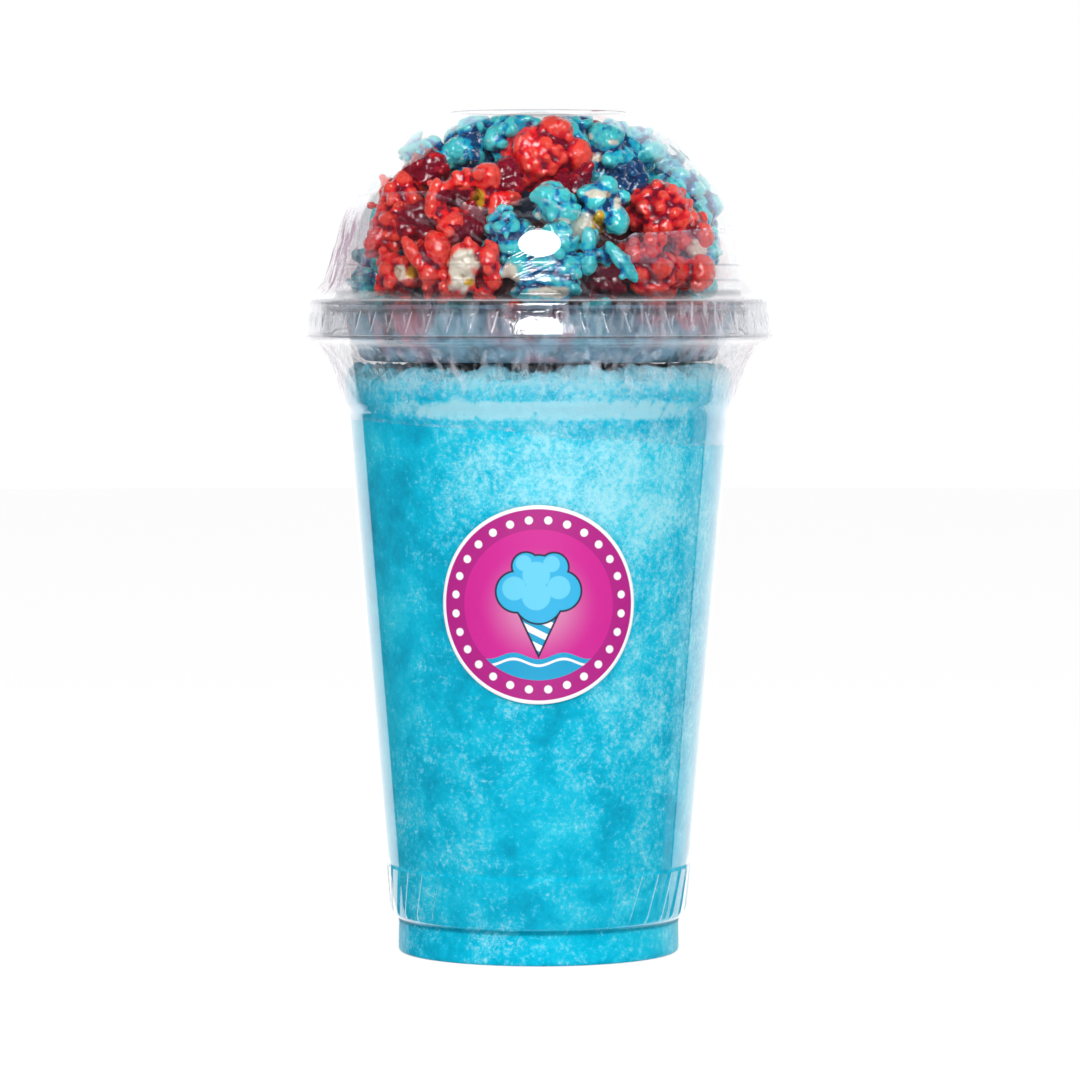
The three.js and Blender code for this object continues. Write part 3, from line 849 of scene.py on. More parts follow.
def film_mist(turn, degrees, height, top):
    """Greyish: the flap's double layer at the right, painted glare on the streaky left side and at
    both ends, and the upper brim.
    """
    flap = window(degrees, 24, 25.5, 54.5, 56) * rise(height, 149.8, 150.2)
    # painted glare on the left side and at both ends
    left = window(degrees, -108, -88, -72, -46) * rise(height, 142, 146) * rise(top - height, 0, 9)
    left = left * (0.35 + 1.1 * ridges(turn, height, 5.3, 16, 0.004))
    ends = rise(np.abs(degrees), 62, 80) * window(height, 118, 124, 133, 134)
    brim = bell(height - top, 0.3) * (np.abs(degrees) < 75)
    return 0.18 * flap + 0.8 * left + 0.22 * ends + 0.15 * brim


def build_film(material):
    around = angles(FILM_COLUMNS)
    top, low = edge_at(FILM_EDGE_TOP, around), edge_at(FILM_EDGE_LOW, around)
    radius, height = film_outline(top, low)
    turn = np.broadcast_to(around, radius.shape)
    degrees = np.degrees((turn + np.pi) % (2 * np.pi) - np.pi)
    waist = window(height, 117, 128, 130.5, 133)
    neck = window(height, 141.6, 144, 149, 153)
    folds = ridges(turn, height, 3.7, 7, 0.02) + 0.4 * ridges(turn, height, 9.1, 19, -0.01)
    radius = radius + waist * (0.22 * folds - 0.1) + neck * (0.08 * folds - 0.03)
    mesh = turned("shrink_film", [(radius[::-1], height[::-1], [])])
    veil = film_veil(degrees, height, top, low, waist, neck, folds)
    mist = film_mist(turn, degrees, height, top)
    gather = window(degrees, -14, -4, 9, 17) * window(height, 145.6, 147, 151, 153.5)
    paint(mesh, "veil", veil[::-1].clip(0, 1))
    paint(mesh, "mist", mist[::-1].clip(0, 1))
    paint(mesh, "gather", gather[::-1])
    return piece("shrink_film", mesh, material, "film_band")


print("film", len(OVER_NECK + OVER_SKIRT + UNDER_FLANGE), "points over the hollow")

# %% [markdown]
# The film is a see-through shader under a mirror like the plastic, but its surface is never
# smooth: fine streaks run up it and broad creases cross it, and both bend the mirror image.

# %% Film material


def film_material():
    g = Graph("film_clear")
    streaks = g.noise(g.millimetres(stretch=(1, 1, 0.3)), 0.55, 4, 0.62, 0.6)
    creases = g.noise(g.millimetres(turn=(0, 0.5, 0.2), stretch=(1, 1, 3)), 0.12, 4, 0.6, 1.2)
    slant = g.noise(g.millimetres(turn=(0, -0.42, 0), stretch=(0.1, 1, 1)), 1.1, 1, 0.5, 0.3)
    fan = g.product(g.painted("gather"), 9.0)
    relief = g.weighted((creases, 1.5), (slant, fan), start=streaks)
    ripple = g.add("ShaderNodeBump", {"Height": relief, "Distance": 0.06 * MM})
    tint = g.mix(g.math("POWER", g.facing(), 4.0), (0.985, 0.98, 0.99), (0.95, 0.94, 0.98))
    through = g.add("ShaderNodeBsdfTransparent", {"Color": tint})
    inputs = {"Color": (1, 1, 1), "Roughness": 0.07, "Normal": ripple}
    mirror = g.add("ShaderNodeBsdfGlossy", inputs)
    sheet = g.blend(mirror_share(g, 0.03), through, mirror)
    # painted light: white on gathered folds, on thin threads along the creases and where seen
    # edge-on, partly the film's milky haze and partly painted highlight
    milky = g.product(g.painted("veil"), g.step(streaks, 0.42, 0.68))
    thread = g.step(creases, 0.565, 0.6)
    edge_on = g.math("POWER", g.facing(), 6.0)
    share = g.weighted((milky, 0.42), (thread, 0.05), (edge_on, 0.06))
    share = g.math("MINIMUM", share, 1.0)
    white = g.add("ShaderNodeBsdfDiffuse", {"Color": (0.86, 0.86, 0.94)})
    sheet = g.blend(share, sheet, white)
    # the grey-mauve is the flap's double layer and painted glare at the sides
    grey = g.add("ShaderNodeBsdfDiffuse", {"Color": (0.52, 0.37, 0.47)})
    misty = g.product(g.painted("mist"), g.step(streaks, 0.36, 0.66, 0.35, 1.5))
    return g.out(g.blend(misty, sheet, grey))


film = build_film(film_material())

# %% [markdown]
# ## Cotton candy
# Spun sugar packed into the cup takes on the shape of its wall. Pressed against the clear sheet
# it looks like felt: a mat of short fibres, cloudy where more or less sugar lies behind, with a
# few deeper creases. Only its top is free, and there it is loose and fluffy.

# %% Candy shape
CANDY_TOP = 124.9
CANDY_CEILING = 128.1
CANDY_INSET = 0.25  # from the cup's wall
CANDY_COLUMNS = 400
CANDY_FOOT = ([0, 0.3, 0.9, 6.9, 8.1, 10.8], [29.9, 30.35, 30.5, 30.4, 31.2, 32.0])
TOP_RINGS = np.array([0.985, 0.965, 0.94, 0.91, 0.87, 0.82, 0.76, 0.68, 0.58, 0.46, 0.33, 0.2, 0.08])


def fluff(points, scale, depth, seed):
    """Turbulent noise at each point (mm), roughly -1 to 1."""
    shift = Vector((seed, seed * 1.7, -seed))
    return np.array([
        noise.fractal(Vector(p) * scale + shift, 0.7, 2.2, depth) for p in points.reshape(-1, 3)
    ]).reshape(points.shape[:-1])


def candy_outline():
    """Close inside the wall from the foot up, then in rings over the top to the middle."""
    height = np.concatenate([[0.15, 0.5, 1.2, 2.2, 4.5, 6.9, 7.5], np.arange(8.2, CANDY_TOP, 0.9)])
    radius = cup_radius(np.maximum(height, BELLY_LOW[1])) - CANDY_INSET
    foot = height < BELLY_LOW[1]
    radius[foot] = np.interp(height[foot], *CANDY_FOOT)
    radius -= 0.35 * rise(height, 7, 9) * (height < 20)
    radius = np.concatenate([radius, radius[-1] * TOP_RINGS])
    height = np.concatenate([height, np.full(len(TOP_RINGS), CANDY_TOP)])
    return np.repeat(radius[:, None], CANDY_COLUMNS, 1), np.repeat(height[:, None], CANDY_COLUMNS, 1)


print("sugar", candy_outline()[0].shape, "rows and columns")

# %% [markdown]
# Paleness is partly the sugar's own uneven tone and partly painted light: the patches paint the
# middle and the right brighter and the left darker, on the front more than on the back, and the
# band along the stacking step is a painted highlight. The patches are listed: strength, place
# across and up, and reach.

# %% Pale patches and the mass of sugar
PALE_PATCHES = [(0.5, 2, 104, 17, 15), (0.3, 25, 100, 12, 16), (0.18, 24, 62, 14, 30),
                (-0.16, -30, 95, 13, 35)]
LEDGE_Z = 118.6


def paleness(points, broad, fine, top):
    x, y, z = points[..., 0], points[..., 1], points[..., 2]
    # painted light: the patches brighten the middle and right and darken the left, fully only on the
    # front half
    front = np.where(y < 0, 1.0, 0.5)
    pale = 0.2 * broad + 0.5 * top
    for strength, across, up, wide, tall in PALE_PATCHES:
        pale += strength * np.exp(-((x - across) / wide) ** 2 - ((z - up) / tall) ** 2) * front
    # painted highlight: a pale band along the stacking step
    ledge = np.exp(-((z - LEDGE_Z) / 1.8) ** 4) * window(x, -40, -18, 18, 40)
    return pale + 1.15 * ledge * (0.8 + 0.6 * fine)


def build_candy(material):
    radius, height = candy_outline()
    points = grid_points(radius, height, angles(CANDY_COLUMNS)) / MM
    broad = fluff(points, 0.11, 3, 5.0)
    fine = fluff(points, 0.55, 3, 11.0)
    top = rise(height, CANDY_TOP - 5, CANDY_TOP)
    felt = (1 - top) * rise(height, 6, 12)
    radius = radius - felt * (0.35 * np.abs(broad) + 0.25 * np.abs(fine))
    radius = radius - top * (0.5 + 0.8 * np.abs(fine)) * (radius > 5)
    mound = rise(-radius, -42.0, -39.5) * (height > CANDY_TOP - 1)
    height = height + top * (1.2 * broad + 0.9 * fine + 0.5)
    height = height + mound * (1.2 + 1.2 * broad + 0.4 * fine)
    height = np.minimum(height, CANDY_CEILING + 0.2 * fine)
    mesh = turned("sugar_floss", [(radius, height, ["low", "high"])])
    paint(mesh, "pale", paleness(points, broad, fine, top))
    return piece("sugar_floss", mesh, material, "cotton_candy")


print("pale patches", len(PALE_PATCHES))

# %% [markdown]
# The colour is built in layers: broad clouds, patches, a fine grain and three sets of fibres
# that cross each other. The deepest tone shows where they all agree on less sugar. The painted
# paleness also carries painted light: a brighter middle and right, a darker left, and a highlight
# along the stacking step.

# %% Candy material
FIBRE_SETS = [((0, 0.6, 0), 1.0), ((0, -0.7, 0.4), 1.13), ((0, 1.5, -0.3), 0.9)]  # turn, scale


def crossing_fibres(g):
    """The strongest of the three sets of fibres at each place."""
    strands = None
    for turn, size in FIBRE_SETS:
        line = g.noise(g.millimetres(turn, (2.4, 2.4, 0.5)), 0.5 * size, 3, 0.65, 0.8)
        strands = line if strands is None else g.math("MAXIMUM", strands, line)
    return strands


def candy_material():
    g = Graph("spun_sugar")
    place = g.millimetres()
    cloud = g.noise(place, 0.05, 3, 0.55)
    patch = g.noise(place, 0.17, 4, 0.6, 0.4)
    grain = g.noise(place, 0.85, 5, 0.8)
    strands = crossing_fibres(g)
    # pale carries the sugar's own tone and painted light
    pale = g.painted("pale")
    tone = g.weighted((cloud, 0.7), (patch, 0.7), (pale, 0.6), (grain, 0.5))
    colour = g.mix(g.step(tone, 0.55, 1.0), (0.0, 0.31, 0.49), (0.0, 0.52, 0.74))
    colour = g.mix(g.step(tone, 0.85, 1.35), colour, (0.04, 0.67, 0.84))
    fibre = g.weighted((grain, 1.35), (strands, 1.0), (pale, 0.75), (patch, 0.5))
    colour = g.mix(g.step(fibre, 1.5, 2.06, 0.0, 0.8), colour, (0.5, 0.85, 0.93))
    relief = g.weighted((strands, 1.2), start=grain)
    fuzz = g.add("ShaderNodeBump", {"Height": relief, "Distance": 0.14 * MM, "Strength": 0.8})
    rough = g.step(grain, 0.2, 0.8, 0.85, 1.0)
    inputs = {"Base Color": colour, "Roughness": rough, "Normal": fuzz}
    inputs.update({"Specular IOR Level": 0.04, "Sheen Weight": 0.03, "Sheen Roughness": 0.5})
    return g.out(g.add("ShaderNodeBsdfPrincipled", inputs))


spun_sugar = candy_material()
candy = build_candy(spun_sugar)

# %% [markdown]
# Loose tufts stand up from the top and lie against the wall there. Each is a narrow curved
# ribbon, tapered to a point.

# %% Wisps
WISPS = 1500
WISP_PARTS = 6
rng = np.random.default_rng(7)


def wisp():
    """One ribbon as pairs of (radius, height, angle), drawn at random near the top's edge."""
    a = rng.uniform(0, 2 * np.pi)
    z = CANDY_TOP + rng.normal(0.2, 0.7)
    r = float(cup_radius(z)) - rng.uniform(0.4, 2.5)
    length, width = rng.uniform(0.8, 2.8), rng.uniform(0.08, 0.22)
    lean, bend = rng.normal(0, 1.2), rng.normal(0, 1.3)
    spot = np.array([0.0, 0.0])
    pairs = []
    for i in range(WISP_PARTS + 1):
        share = i / WISP_PARTS
        turn = lean + bend * share
        taper = (1 - share) ** 0.7 * (0.4 + 0.6 * math.sin(math.pi * min(1, share + 0.3)))
        side = np.array([math.cos(turn), -math.sin(turn)]) * width * taper / 2
        for sign in (-1, 1):
            sideways, up = spot + sign * side
            high = min(z + up, CANDY_TOP + 2.3)
            pairs.append((min(r, float(cup_radius(high)) - 0.35), high, a + sideways / r))
        spot = spot + np.array([math.sin(turn), math.cos(turn)]) * length / WISP_PARTS
    return pairs


def build_wisps():
    points, faces = [], []
    for _ in range(WISPS):
        base = len(points)
        points += wisp()
        for k in range(base, base + 2 * WISP_PARTS, 2):
            faces.append((k, k + 1, k + 3, k + 2))
    placed = [(r * math.sin(a) * MM, -r * math.cos(a) * MM, z * MM) for r, z, a in points]
    mesh = mesh_from("sugar_wisps", placed, faces)
    paint(mesh, "pale", np.full(len(points), 0.9))
    return piece("sugar_wisps", mesh, spun_sugar, "cotton_candy")


wisps = build_wisps()

# %% [markdown]
# ## Candied popcorn
# A popped kernel is a bunch of foam bubbles that burst out of one hull. Some pop into round
# mushrooms covered with small knobs, others into winged flakes with a few large lobes. Boiled
# sugar, red or blue, coats them with a shiny skin that is thinnest on the knobs and pools in the
# folds. Where the coat missed, the cream-coloured foam shows, and here and there a bit of hull.
#
# Each kernel is grown from a bunch of balls that are fused by remeshing with small cubes, then
# smoothed a little, so the balls melt into one another as foam does.

# %% Kernel shapes


def directions(count, jitter):
    """Evenly spread unit vectors with some disorder."""
    i = np.arange(count) + 0.5
    up = 1 - 2 * i / count
    turn = np.pi * (1 + 5**0.5) * i
    flat = np.sqrt(1 - up * up)
    way = np.stack([flat * np.cos(turn), flat * np.sin(turn), up], -1)
    way += rng.normal(0, jitter, (count, 3))
    return way / np.linalg.norm(way, axis=1, keepdims=True)


def lobe(place, radii, turn=(0, 0, 0)):
    """One ball of foam: middle, radii and turn."""
    return np.array(place, float), np.array(radii, float), Euler(turn).to_matrix()


def any_turn():
    return tuple(rng.uniform(0, 2 * math.pi, 3))


def knobs(place, radius, count, size, jitter=0.12):
    """A ball covered with smaller, slightly long balls."""
    made = [lobe(place, (radius, radius, radius))]
    for way in directions(count, jitter):
        r = radius * size * rng.uniform(0.7, 1.35)
        spot = made[0][0] + way * (radius * rng.uniform(0.88, 1.0))
        made.append(lobe(spot, (r, r * rng.uniform(0.8, 1.1), r * rng.uniform(1.0, 1.5)), any_turn()))
    return made


def berry(half):
    """Round and full, closely covered with knobs of all sizes."""
    made = knobs((0, 0, 0), half * 0.84, 72, 0.165, 0.15)
    return made + knobs((0, 0, 0), half * 0.78, 10, 0.28, 0.3)[1:]


def lump(half):
    """Full, with a few large swellings and small knobs between them."""
    made = knobs((0, 0, 0), half * 0.66, 11, 0.52, 0.25)
    return made + knobs((0, 0, 0), half * 0.86, 12, 0.2, 0.4)[1:]


def flake(half):
    """A heart with stubby fingers pushed out of it on all sides."""
    made = knobs((0, 0, 0), half * 0.6, 10, 0.46, 0.25)
    for way in directions(8, 0.3):
        long, thick = half * rng.uniform(0.3, 0.42), half * rng.uniform(0.28, 0.4)
        turn = Vector(way).to_track_quat("Z", "Y").to_euler()
        place = way * (half - long)
        made.append(lobe(place, (thick, thick * rng.uniform(0.8, 1.2), long), turn))
        for _ in range(3):
            spot = place + way * long * rng.uniform(0, 0.7) + rng.normal(0, thick * 0.45, 3)
            made.append(lobe(spot, [thick * rng.uniform(0.4, 0.65)] * 3))
    return made


def wing(half):
    """Broad folds laid over one another, with a few knobs at one end."""
    made = knobs((0, 0.3 * half, 0), half * 0.62, 8, 0.4)
    for i in range(6):
        across, behind, up = rng.uniform(-0.2, 0.2), -0.2 + 0.26 * (i % 2), 0.27 * i - 0.66
        place = (across * half, behind * half, up * half)
        radii = (half * rng.uniform(0.62, 0.88), half * 0.4, half * rng.uniform(0.2, 0.28))
        turn = (rng.uniform(-0.6, 0.2), rng.uniform(-0.4, 0.4), rng.uniform(-0.35, 0.35))
        made.append(lobe(place, radii, turn))
    made += knobs((0.5 * half, -0.1 * half, -0.25 * half), half * 0.28, 8, 0.42)
    return made


def curl(half):
    """A petal rolled into a ring, its hollow facing outwards."""
    made = []
    for i in range(14):
        t = i * 2 * math.pi / 14
        fat = half * (0.24 + 0.06 * math.sin(t * 2 + 0.7))
        place = (0.7 * half * math.cos(t), -0.1 * half * math.sin(t), 0.56 * half * math.sin(t))
        made += knobs(place, fat, 6, 0.4, 0.3)
    made += knobs((0, half * 1.5, 0), half * 0.5, 10, 0.4)
    return made


def plain(half):
    """Only a heart; its lobes are laid out one by one."""
    return knobs((0, half * 0.5, 0), half * 0.5, 8, 0.4)


SHAPES = {"berry": berry, "lump": lump, "flake": flake, "wing": wing, "curl": curl, "plain": plain}
print("kernel shapes", list(SHAPES))

# %% [markdown]
# The bunch of balls becomes one closed skin by remeshing. The points of that skin are then
# worked on as arrays: `averaged` gives each point the mean of its neighbours, which smooths when
# it is repeated and also tells a fold from a knob, as a fold lies deeper than its surroundings.

# %% One skin


def fuse(balls, voxel):
    """One closed skin round a bunch of balls. Returns points, faces and edges in mm."""
    bm = bmesh.new()
    for place, radii, turn in balls:
        size = Matrix.Diagonal((*radii, 1))
        matrix = Matrix.Translation(Vector(place)) @ turn.to_4x4() @ size
        detail = 3 if max(radii) > 2.2 else 2
        bmesh.ops.create_icosphere(bm, subdivisions=detail, radius=1, matrix=matrix)
    mesh = bpy.data.meshes.new("balls")
    bm.to_mesh(mesh)
    bm.free()
    thing = bpy.data.objects.new("balls", mesh)
    scene.collection.objects.link(thing)
    remesh = thing.modifiers.new("fuse", "REMESH")
    remesh.mode = "VOXEL"
    remesh.voxel_size = voxel
    fused = thing.evaluated_get(bpy.context.evaluated_depsgraph_get())
    ready = bpy.data.meshes.new_from_object(fused)
    points = np.empty(len(ready.vertices) * 3)
    ready.vertices.foreach_get("co", points)
    faces = np.array([list(p.vertices) for p in ready.polygons])
    edges = np.empty(len(ready.edges) * 2, int)
    ready.edges.foreach_get("vertices", edges)
    bpy.data.objects.remove(thing)
    bpy.data.meshes.remove(mesh)
    bpy.data.meshes.remove(ready)
    return points.reshape(-1, 3), faces, edges.reshape(-1, 2)


def averaged(values, edges, count):
    """Mean of each point's neighbours."""
    total = np.zeros_like(values)
    number = np.zeros(count)
    for a, b in (edges.T, edges.T[::-1]):
        np.add.at(total, a, values[b])
        np.add.at(number, a, 1)
    return total / number.reshape(-1, *[1] * (values.ndim - 1))


def normals_of(points, faces):
    corner = points[faces]
    flat = np.cross(corner[:, 2] - corner[:, 0], corner[:, 3] - corner[:, 1])
    total = np.zeros_like(points)
    for i in range(4):
        np.add.at(total, faces[:, i], flat)
    return total / np.maximum(np.linalg.norm(total, axis=1, keepdims=True), 1e-9)


print("a ball of 3 mm has", len(fuse([lobe((0, 0, 0), (3, 3, 3))], 0.92)[0]), "points")

# %% [markdown]
# The front of the heap is laid out kernel by kernel, as seen from the front: across, height,
# half its size, colour and shape; then how far it is sunk behind the others, its stretch across
# and up, its lean in degrees, extra lobes and marks. A lobe is a place from the kernel's middle,
# two radii and a lean. A mark is bare foam, hull, painted shade that darkens the coat, or a paler
# coat, with a place and two radii. A kernel that isn't sunk lies against the dome.

# %% The front of the heap
RED, BLUE = "red", "blue"
# The first mark darkens a whole kernel as painted shade, for kernels lying back in the shade of
# others; the second paints a kernel paler.
SHADED_KERNEL = ("deep", 0, 0, 9, 9)
PALE = ("pale", 0, 0, 8, 8)


def laid(across, z, half, colour, shape, sunk=0, wide=1, tall=1, lean=0, lobes=(), marks=()):
    return across, z, half, colour, shape, sunk, wide, tall, lean, lobes, marks


FRONT = [
    laid(-0.6, 172.0, 8.6, RED, "berry", tall=0.93,
         lobes=[(9.0, 0.4, 3.2, 4.0, -8), (4.2, 5.9, 4.0, 3.0, 10), (8.6, -5.7, 2.5, 2.7, 0),
                (-4.7, -5.7, 2.7, 2.5, 0), (0.8, -6.8, 2.5, 1.9, 0)]),
    laid(-13.6, 174.6, 8.0, BLUE, "lump", wide=1.05, tall=0.86, lean=-18,
         lobes=[(-4.4, -1.7, 2.7, 3.6, 25), (4.0, 2.2, 2.6, 3.4, 30), (1.4, -3.2, 1.6, 3.4, -38),
                (-1.0, 3.4, 3.2, 2.0, 0)],
         marks=[("deep", 0.2, 0.4, 1.0, 4.5)]),
    laid(-4.6, 178.4, 4.8, BLUE, "lump", wide=1.3, tall=0.7),
    laid(-26.6, 172.9, 6.1, BLUE, "wing", sunk=9, tall=0.62, lean=-32),
    laid(-16.0, 163.0, 8.0, RED, "curl", tall=0.9, lean=-30,
         lobes=[(5.0, 4.8, 3.4, 3.0, -20), (9.2, -0.2, 3.4, 2.1, -10),
                (-2.4, -5.3, 3.4, 2.5, -15), (-6.2, 0.2, 1.7, 4.6, 12), (6.9, -1.5, 1.7, 3.8, 0)],
         marks=[("deep", -1.8, 0.4, 3.4, 2.0), ("deep", -1.8, 0.4, 3.4, 2.0),
                ("hull", 3.0, -0.2, 1.7, 2.2), ("cream", 2.6, -4.4, 1.6, 2.2),
                ("hull", 2.0, -5.6, 1.2, 0.9)]),
    laid(-23.6, 169.6, 5.8, RED, "lump", wide=1.1, tall=0.75, lean=10, marks=[SHADED_KERNEL]),
    laid(-29.2, 163.8, 5.9, RED, "flake", wide=1.05),
    laid(-33.3, 155.2, 5.7, RED, "flake", wide=0.9, tall=1.15),
    laid(-23.0, 151.8, 5.9, RED, "plain",
         lobes=[(-3.4, -0.4, 1.7, 4.6, -30), (2.1, 0.4, 3.0, 4.6, -28), (0.0, -4.6, 2.5, 2.5, 0)]),
    laid(-30.2, 146.7, 6.1, RED, "flake", tall=0.95,
         marks=[("cream", 1.1, 0.9, 1.3, 1.7), ("hull", 3.2, 0.7, 1.3, 1.5)]),
    laid(-12.9, 148.0, 6.3, RED, "plain",
         lobes=[(-3.7, 3.5, 2.1, 2.3, 0), (-1.3, 4.2, 2.1, 2.0, 0), (-4.1, 0.4, 2.0, 2.5, 0),
                (-1.4, 0.6, 2.1, 2.5, 0), (-4.5, -2.4, 2.0, 2.1, 0), (-2.0, -2.6, 1.9, 1.9, 0),
                (-3.6, -5.0, 1.5, 1.5, 0), (2.4, 2.2, 2.4, 3.1, 0), (3.4, -1.6, 2.1, 2.9, 0),
                (1.2, -5.2, 2.3, 1.6, 0), (-6.2, -5.2, 1.7, 1.4, 0), (3.3, 4.4, 1.7, 1.7, 0)],
         marks=[("cream", -3.2, 0.7, 3.3, 5.3), ("hull", -1.6, -2.7, 1.1, 0.8)]),
    laid(1.3, 146.1, 8.4, BLUE, "wing", wide=1.15, tall=0.72,
         lobes=[(-5.3, 2.3, 3.4, 3.0, 30), (4.8, 2.3, 3.4, 2.7, -20)],
         marks=[("cream", -7.2, 0.6, 1.7, 3.0), ("cream", 1.0, -2.7, 4.2, 1.3)]),
    laid(3.4, 161.4, 6.4, BLUE, "lump", tall=0.8, lean=25,
         lobes=[(-1.1, 2.0, 3.6, 2.5, 15), (2.0, -1.0, 3.4, 2.6, 30)],
         marks=[PALE, ("cream", -3.8, -2.4, 1.2, 1.8), ("cream", 1.2, -3.4, 1.8, 0.9)]),
    laid(13.6, 161.3, 6.6, BLUE, "lump", wide=0.95, tall=0.95,
         lobes=[(3.0, -2.8, 2.6, 3.4, -15), (-4.4, -4.4, 3.4, 3.2, 0), (-2.6, 2.8, 2.8, 2.2, 0)],
         marks=[("cream", -1.2, 2.6, 3.2, 0.9), ("cream", -4.0, -4.7, 3.9, 3.1),
                ("hull", -1.0, -3.4, 1.3, 3.2), ("cream", 2.8, 0.6, 0.9, 1.4)]),
    laid(14.1, 151.0, 4.2, BLUE, "plain",
         lobes=[(-3.6, 3.3, 1.7, 3.0, 0), (-3.6, -1.7, 1.9, 2.7, 5), (3.4, -1.3, 1.7, 5.5, -38)]),
    laid(25.9, 160.3, 8.3, RED, "berry", tall=0.92,
         lobes=[(-2.6, 3.6, 3.2, 1.6, -10), (-2.8, 0.6, 3.0, 1.5, -12),
                (2.4, -2.8, 3.4, 3.0, 15)]),
    laid(30.6, 147.2, 6.3, RED, "plain",
         lobes=[(-1.7, 0.6, 4.0, 3.6, 0), (4.0, 0.4, 3.2, 4.0, 0), (-4.2, -3.8, 3.4, 1.7, 0)]),
    laid(22.6, 149.3, 6.8, RED, "flake", wide=1.05,
         lobes=[(0.8, -4.9, 4.2, 2.1, 0)]),
    laid(13.6, 173.4, 8.2, BLUE, "lump", wide=0.95, lean=30,
         lobes=[(-0.6, -5.4, 3.8, 2.8, 0), (4.6, -1.6, 2.6, 4.0, -40)],
         marks=[("cream", -1.8, -1.4, 1.5, 1.0), ("cream", 2.4, 1.7, 1.3, 0.7),
                ("cream", -3.3, 3.0, 1.3, 0.8), ("cream", 0.2, -7.2, 2.6, 0.9)]),
    laid(26.4, 170.2, 9.2, BLUE, "plain",
         lobes=[(-5.2, -3.2, 5.8, 2.7, 20), (0.2, 1.6, 7.4, 2.9, 34), (5.2, -3.6, 6.6, 3.0, 46),
                (-4.6, 4.6, 5.2, 2.5, 26), (8.4, -8.4, 3.4, 4.6, -16), (2.2, -6.4, 4.6, 2.4, 30)]),
    laid(34.8, 161.1, 6.2, BLUE, "lump", wide=0.85, tall=1.2),
    laid(34.8, 152.2, 6.2, BLUE, "lump", wide=0.9,
         marks=[("cream", -1.6, 0.5, 2.6, 2.1)]),
    laid(-36.5, 145.1, 5.0, BLUE, "lump", tall=0.8),
    laid(-6.3, 155.2, 6.4, BLUE, "lump", sunk=3, wide=0.9, tall=1.1),
    laid(20.0, 178.0, 4.6, RED, "lump", sunk=16, wide=1.2, tall=0.7),
    laid(18.8, 167.4, 5.2, BLUE, "lump", sunk=8, marks=[SHADED_KERNEL]),
    laid(4.4, 154.3, 5.2, BLUE, "lump", sunk=3),
    laid(-25.5, 157.0, 6.5, RED, "flake", sunk=6, marks=[SHADED_KERNEL]),
    laid(-14.8, 156.5, 5.5, RED, "flake", sunk=6, marks=[SHADED_KERNEL]),
    laid(-19.0, 146.0, 6.0, RED, "flake", sunk=4),
    laid(14.0, 146.0, 5.5, RED, "flake", sunk=6, marks=[SHADED_KERNEL]),
    laid(8.0, 165.5, 5.5, RED, "flake", sunk=6, marks=[SHADED_KERNEL]),
    laid(-22.0, 172.0, 5.4, BLUE, "lump", sunk=4),
    laid(8.5, 157.5, 5.8, BLUE, "lump", sunk=9, marks=[PALE]),
    laid(-6.5, 176.0, 6.0, BLUE, "lump", sunk=7),
    laid(7.0, 177.0, 6.0, BLUE, "lump", sunk=7, wide=1.2, tall=0.8),
    laid(22.0, 174.0, 6.0, BLUE, "lump", sunk=7),
    laid(30.0, 165.0, 6.0, BLUE, "lump", sunk=5),
    laid(32.0, 156.0, 6.0, RED, "lump", sunk=5),
    laid(-8.0, 166.0, 6.0, RED, "lump", sunk=7, marks=[SHADED_KERNEL]),
    laid(-30.0, 158.0, 6.0, RED, "lump", sunk=4),
]
print("laid by hand", len(FRONT), "kernels")

# %% [markdown]
# The tray, the back and the top are filled in with like kernels, each given by its angle from
# the front in degrees, its distance from the axis, its height, half its size and its colour. At
# the back they stand in even rows.

# %% The rest of the heap
LOW = [(-86, 32, 136, 7.6, BLUE), (-60, 32, 136, 7.6, RED), (-34, 32, 135.4, 7.6, BLUE),
       (-8, 32, 135.8, 7.6, RED), (16, 32, 135.4, 7.6, BLUE), (42, 32, 136, 7.6, RED),
       (68, 32, 136, 7.6, RED), (92, 32, 136, 7.6, BLUE)]
TOP = [(0, 0.5, 171.0, 8.4, RED), (62, 13.5, 169.4, 8.2, BLUE), (118, 14.5, 168.8, 8.2, RED),
       (172, 13.5, 168.6, 8.4, BLUE), (228, 14.5, 168.8, 8.2, RED), (288, 13.5, 169.2, 8.2, BLUE)]
BACK_ROWS = [(147.6, 34.2, 7, 8.8), (159.6, 31.0, 6, 8.8), (169.4, 21.0, 4, 8.8), (135.6, 34, 6, 8)]
BACK_START = 96  # degrees from the front
BACK_SWEEP = 168
ROW_SHIFT = 4


def hidden_plan():
    """Angle, distance, height, half size, colour and shape of each kernel that isn't in front."""
    plan = [(*kernel, "flake") for kernel in LOW] + [(*kernel, "lump") for kernel in TOP]
    for row, (z, distance, count, half) in enumerate(BACK_ROWS):
        for i in range(count):
            a = BACK_START + BACK_SWEEP * (i + 0.5) / count + (-1) ** row * ROW_SHIFT
            shape = ("flake", "lump")[(i // 2 + row) % 2]
            plan.append((a, distance, z, half, RED if (i + row) % 2 else BLUE, shape))
    return plan


print("behind, below and on top", len(hidden_plan()), "kernels")

# %% [markdown]
# ### One kernel
# Its balls are fused, and its skin gets fine bumps and the seams between foam bubbles. How deep
# each point lies under its surroundings is kept as the value fold: the coat pools there, and the
# coat is darkened there as painted shade. At last the kernel is turned to its place, pushed in
# until it clears dome and tray, and what is left of it outside is pressed flat against them, as
# the real heap is.

